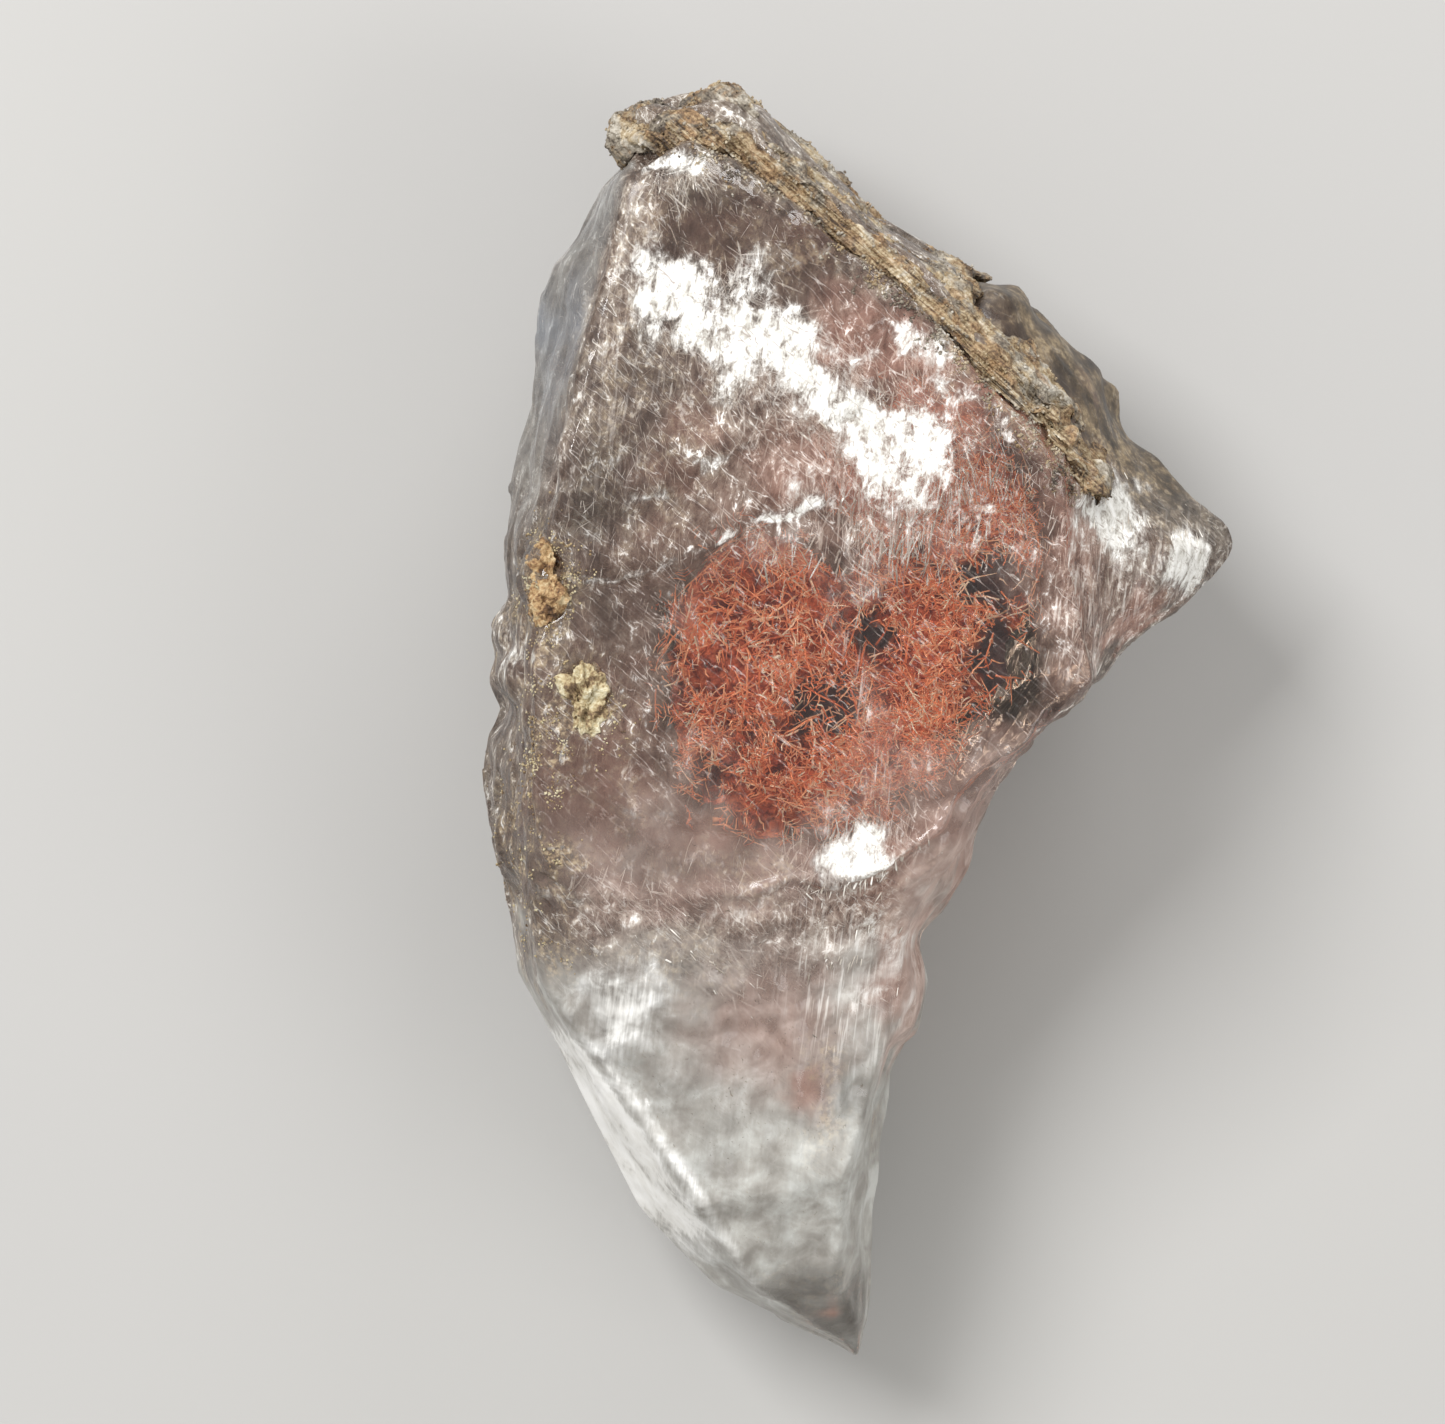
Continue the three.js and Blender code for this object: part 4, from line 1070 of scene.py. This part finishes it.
def limonite_finish():
    """Tan and grey earth, striped dark and rusty beside the seam, with pale lumps farther out."""
    f = Finish("limonite")
    inner = f.painted("inner")
    coarse = f.grain(1.5, 0, 4, 0.66, 0.7)
    along = f.grain((2.0, 0.15, 0.5), -42, 3, 0.7, 0.7)
    crumb = f.grain(0.15, 0, 3, 0.7)
    stripe = 0.16 + 0.38 * inner
    # Darker where the bump sinks: partly real dark earth, partly painted shade in the grooves.
    share = coarse * (0.70 - stripe) + along * stripe + crumb * 0.30 - 0.02 * inner
    ground = f.ramp(share, (0.40, (0.03, 0.017, 0.009)), (0.45, (0.13, 0.078, 0.038)),
                    (0.50, (0.25, 0.18, 0.098)), (0.555, (0.38, 0.31, 0.205)), (0.63, (0.56, 0.52, 0.44)))
    rust = f.step(f.grain(1.2, 0, 3, 0.6, 0.8, (3, 8, 2)) + 0.06 * inner, 0.54, 0.66)
    ruddy = f.ramp(crumb, (0.35, (0.09, 0.04, 0.014)), (0.6, (0.35, 0.215, 0.105)))
    dull = f.step(f.grain(1.1, 0, 3, 0.6, 0.6, (9, 4, 6)) - 0.10 * inner, 0.42, 0.56)
    grey = f.ramp(share, (0.42, (0.06, 0.05, 0.04)), (0.50, (0.19, 0.17, 0.14)), (0.6, (0.43, 0.405, 0.36)))
    colour = f.blend(rust * 0.55, f.blend(dull * 0.8, ground, grey), ruddy)
    height = along * 0.8 + crumb * 0.6
    return f.done(f.surface(Base_Color=colour, Roughness=0.5 + 0.3 * crumb,
                            Normal=f.bump(height, 0.7, 0.08)))


def ochre_finish(name, *tones):
    """Crumbly ochre in four tones, from its pits to its crumbs."""
    f = Finish(name)
    coarse = f.grain(0.8, 0, 3, 0.6, 0.5)
    crumb = f.grain(0.14, 0, 3, 0.7)
    colour = f.ramp(coarse * 0.6 + crumb * 0.4, *zip((0.40, 0.46, 0.52, 0.62), tones))
    return f.done(f.surface(Base_Color=colour, Roughness=0.7 + 0.2 * crumb,
                            Normal=f.bump(coarse + crumb, 0.7, 0.1)))


# ---- Cleavage flakes ------------------------------------------------------------------------------------

TRIES = 60       # how often places are drawn at most, for each sliver
THIN = 0.02      # thickness of a sliver
# Where slivers lie, and where the open tangle keeps them away. Rows are a share, a centre, a size and a turn.
SHEEN_SPOTS = (
    (1, (-4.6, 14.2), (2.2, 1.3), -60), (1, (-0.6, 11.6), (3.4, 1.5), -42), (1, (0.0, -5.1), (2.0, 1.1), 12),
    (1, (9.8, 7.2), (1.4, 1.5), -40), (1, (12.9, 6.0), (0.8, 1.2), 0), (1, (-6.8, 20.6), (1.3, 0.5), 10),
    (1, (2.4, 13.9), (1.0, 0.6), 0), (0.9, (-6.9, -8.1), (2.4, 0.8), -32), (0.5, (0.4, -7.8), (1.6, 2.0), 0),
    (0.4, (9.0, 4.8), (1.0, 2.4), 0), (0.35, (0.8, 7.6), (2.4, 1.6), 0))
LINT_SPOTS = (
    (0.5, (-7.5, 12.0), (4.0, 9.0), 8), (0.8, (3.0, 9.4), (6.0, 2.6), -20), (0.6, (9.5, 5.5), (2.6, 3.4), 0),
    (0.5, (-3.0, -7.8), (8.0, 2.2), 4))
OPEN_SPOTS = ((1, (-3.4, 1.4), (4.4, 5.0), 0), (1, (3.2, 2.2), (4.2, 3.8), 0))


def flake_shape(name, chance):
    """A unit sliver along +Z: a thin six-sided plate with uneven ends."""
    bpy.ops.mesh.primitive_circle_add(vertices=6, radius=0.5, fill_type="NGON", location=(0, 0, 0),
                                      rotation=(math.pi / 2, 0, 0))
    plate = bpy.context.object
    plate.name = name
    bpy.ops.object.transform_apply(location=True, rotation=True, scale=True)
    with editing(plate):
        bpy.ops.mesh.extrude_region_move(TRANSFORM_OT_translate={"value": (0, 1.0, 0)})
        bpy.ops.mesh.select_all(action="SELECT")
        bpy.ops.mesh.normals_make_consistent(inside=False)
    spots = points_of(plate) * MM
    for spot in spots:
        spot[0] += chance.uniform(-0.12, 0.12)
        spot[2] += chance.uniform(-0.16, 0.16)
    move_points(plate, spots)
    return plate


def flakes(name, seed, count, crystal, shapes, weight, sizes, depth):
    """Slivers of parted cleavage just under the crystal's upper faces."""
    chance = random.Random(seed)
    places = []
    for _ in range(count * TRIES):
        if len(places) == count:
            break
        x, y = chance.uniform(-13.5, 14), chance.uniform(-24, 23)
        if chance.random() > weight(x, y):
            continue
        hit, at, out, _ = crystal.ray_cast(Vector((x, y, ABOVE)) * MM, -UP)
        if not hit or out.z < 0.35:
            continue
        length, width = chance.uniform(*sizes[0]), chance.uniform(*sizes[1])
        spot = at / MM - out * chance.uniform(*depth)
        angle = math.radians(chance.gauss(*lie(x, y)))
        aim = Vector((math.sin(angle), math.cos(angle), 0))
        aim = (aim - out * aim.dot(out)).normalized()
        across = out.cross(aim).normalized()
        lift = chance.gauss(0, 0.16)
        face = (out * math.cos(lift) + across * math.sin(lift)).normalized()
        across = face.cross(aim).normalized()
        ends = (spot - aim * (length / 2), spot + aim * (length / 2))
        if all(sunk(crystal, end) for end in ends):
            matrix = np.eye(4)
            matrix[:3, :3] = np.column_stack([np.array(across) * width, np.array(face) * THIN,
                                              np.array(aim) * length])
            matrix[:3, 3] = ends[0]
            places.append((chance.randrange(len(shapes)), matrix))
    return strewn(name, shapes, places)


def sunk(crystal, spot):
    """Whether a place lies under the crystal's upper surface."""
    hit, at, _, _ = crystal.ray_cast(Vector((spot.x, spot.y, ABOVE)) * MM, -UP)
    return hit and at.z / MM > spot.z + 0.015


def lie(x, y):
    """How slivers lie at a place: an angle from +Y towards +X and its spread, in degrees."""
    if x > 7.4 and y > 0:
        return math.degrees(math.atan2(x - 9.4, y - 10.4)), 9
    if y < -6:
        return (-38, 24) if x < -2 else (10, 14)
    if y > 9.5:
        return -24, 34
    return 8, 16


def near(x, y, rows):
    """The largest of several bell-shaped spots at a place."""
    shares = []
    for share, centre, size, turn in rows:
        angle = math.radians(turn)
        dx, dy = x - centre[0], y - centre[1]
        along = (dx * math.cos(angle) + dy * math.sin(angle)) / size[0]
        across = (dy * math.cos(angle) - dx * math.sin(angle)) / size[1]
        shares.append(share * math.exp(-(along * along + across * across)))
    return max(shares)


def sheen_weight(x, y):
    return near(x, y, SHEEN_SPOTS) * (1 - 0.9 * near(x, y, OPEN_SPOTS))


def lint_weight(x, y):
    return near(x, y, LINT_SPOTS) * (1 - near(x, y, OPEN_SPOTS))


def flake_finish():
    f = Finish("cleavage_white")
    tone = f.grain(0.5, 0, 3, 0.6)
    own = f.add("ShaderNodeNewGeometry", output="Random Per Island")
    colour = f.ramp(tone * 0.4 + own * 0.6, (0.30, (0.36, 0.31, 0.26)), (0.62, (0.62, 0.58, 0.52)),
                    (0.78, (0.84, 0.81, 0.76)))
    # Painted glow: the slivers emit a faint light of their own colour.
    return f.done(f.surface(Base_Color=colour, Emission_Color=colour, Emission_Strength=2 * PAINTED_GLOW,
                            Roughness=0.22 + 0.25 * tone, IOR=1.52, Normal=f.bump(tone, 0.3, 0.02)))


# ---- Build ----------------------------------------------------------------------------------------------

luck = random.Random(11)
needles = [needle(f"needle_{i}", luck) for i in range(5)]
grains = [crumb_shape(f"grain_{i}", luck) for i in range(5)]
slivers = [flake_shape(f"sliver_{i}", luck) for i in range(4)]

crystal = crystal_mesh()
shape_crystal(crystal)
paint_crystal(crystal)
pick(crystal)
bpy.ops.object.shade_smooth()
dress(crystal, selenite_finish(), "selenite", "selenite_front", "selenite_back")

# Lit and shaded copies: bright wires, palest on random needles as painted highlights; darker felt as painted
# shade.
lit_copper = copper_finish("copper_lit", 0.6, (0.52, 0.10, 0.045), (0.98, 0.31, 0.14), (1.0, 0.49, 0.27),
                              (1.0, 0.88, 0.68))
shaded_copper = copper_finish("copper_shaded", 0.0, (0.08, 0.02, 0.02), (0.30, 0.06, 0.035), (0.60, 0.15, 0.07),
                            (0.90, 0.30, 0.15))
dress(copper_felt(), shaded_copper, "copper", "native_copper")
for name, seed, count, depth, lengths, thickness in (
        ("copper_wires_front", 1, 7600, (13.4, 15.4), (0.8, 2.2), 0.046),
        ("copper_wires_middle", 2, 8200, (12.0, 15.0), (0.8, 2.0), 0.034)):
    wires = copper_wires(name, seed, count, depth, lengths, thickness, needles, name.endswith("front"))
    dress(wires, lit_copper, "copper")

limonite = limonite_finish()
crust = earthy_mesh("limonite_crust_skin", "limonite_crust", 0.3, 0.10, 0.13, 1.0, crust_form)
beside_seam, _ = from_line(points_of(crust), SEAM)
paint(crust, "inner", fall(beside_seam + 0.3 * rough(points_of(crust), 1.0, 2, 4.0), 0.7, 1.7))
dress(crust, limonite, "limonite", "limonite_crust")
dress(crumbs("limonite_grains", 5, 2400, crust, grains, (0.04, 0.12), on_crust), limonite, "limonite")
dress(crumbs("limonite_fringe", 6, 1800, crystal, grains, (0.03, 0.11), beside_crust), limonite, "limonite")

ochre = ochre_finish("ochre", (0.06, 0.03, 0.015), (0.19, 0.10, 0.042), (0.37, 0.24, 0.115), (0.52, 0.42, 0.26))
pale_ochre = ochre_finish("ochre_pale", (0.09, 0.055, 0.03), (0.24, 0.165, 0.085), (0.42, 0.345, 0.20),
                          (0.58, 0.54, 0.40))
for node, tone, narrowing, seed in (("ochre_fill_upper", ochre, 0.28, 4.0),
                                    ("ochre_fill_lower", pale_ochre, 0.22, 5.0)):
    fill = earthy_mesh(f"{node}_earth", node, 0.3, 0.07, 0.4, seed, ochre_form(narrowing))
    dress(fill, tone, "ochre", node)
dress(crumbs("ochre_grains", 7, 1700, crystal, grains, (0.02, 0.08), beside_ochre), pale_ochre, "ochre")

parted_white = flake_finish()
for name, seed, count, weight, sizes, depth in (
        ("sheen_flakes", 21, 4200, sheen_weight, ((0.25, 1.2), (0.02, 0.085)), (0.05, 0.6)),
        ("lint_flakes", 22, 2600, lint_weight, ((0.15, 0.8), (0.01, 0.026)), (0.05, 0.9))):
    dress(flakes(name, seed, count, crystal, slivers, weight, sizes, depth), parted_white, "selenite")

for shape in (*needles, *grains, *slivers):
    bpy.data.objects.remove(shape)


# ---- Stage ----------------------------------------------------------------------------------------------

# In metres: what the lights face, how far the camera is from the crystal's middle and how wide it sees there.
MIDDLE = Vector((0, 0, 0.008))
DISTANCE = 0.4
FRAME_WIDTH = 0.05491
SENSOR = 36.0    # in millimetres


def soft_light(name, at, size, power):
    """A square soft box that faces the specimen, in metres and watts."""
    lamp = bpy.data.lights.new(name, "AREA")
    lamp.shape = "SQUARE"
    lamp.size = size
    lamp.energy = power
    box = bpy.data.objects.new(name, lamp)
    bpy.context.scene.collection.objects.link(box)
    box.location = at
    box.rotation_euler = (MIDDLE - Vector(at)).to_track_quat("-Z", "Y").to_euler()


def floor_finish():
    f = Finish("studio_floor")
    tone = f.grain(60.0, 0, 2, 0.5)
    colour = f.ramp(tone, (0.3, (0.36, 0.355, 0.35)), (0.7, (0.385, 0.38, 0.37)))
    return f.done(f.surface(Base_Color=colour, Roughness=0.8))


bpy.ops.mesh.primitive_plane_add(size=1.6, location=(0, 0, -0.00002))
floor = pick(bpy.context.object)
floor.name = "floor"
bpy.ops.object.transform_apply(location=True, rotation=True, scale=True)
floor.data.materials.append(floor_finish())

soft_light("key", (-0.16, 0.16, 0.30), 0.16, 1.5)
soft_light("fill", (0.26, -0.10, 0.26), 0.20, 0.4)
soft_light("rim", (0.10, 0.30, 0.14), 0.12, 0.4)

world = bpy.data.worlds.new("studio")
bpy.context.scene.world = world
world.use_nodes = True
sky = world.node_tree.nodes["Background"].inputs
sky["Color"].default_value = (1.0, 0.985, 0.95, 1)
sky["Strength"].default_value = 0.72

camera_data = bpy.data.cameras.new("camera")
camera = bpy.data.objects.new("camera", camera_data)
bpy.context.scene.collection.objects.link(camera)
camera.location = (-0.00515, 0.00034, 0.009 + DISTANCE)
camera_data.sensor_fit = "HORIZONTAL"
camera_data.sensor_width = SENSOR
camera_data.lens = SENSOR * DISTANCE / FRAME_WIDTH
camera_data.clip_start = 0.01
scene = bpy.context.scene
scene.camera = camera
scene.view_settings.view_transform = "Standard"
scene.cycles.max_bounces = 9
scene.cycles.diffuse_bounces = 3
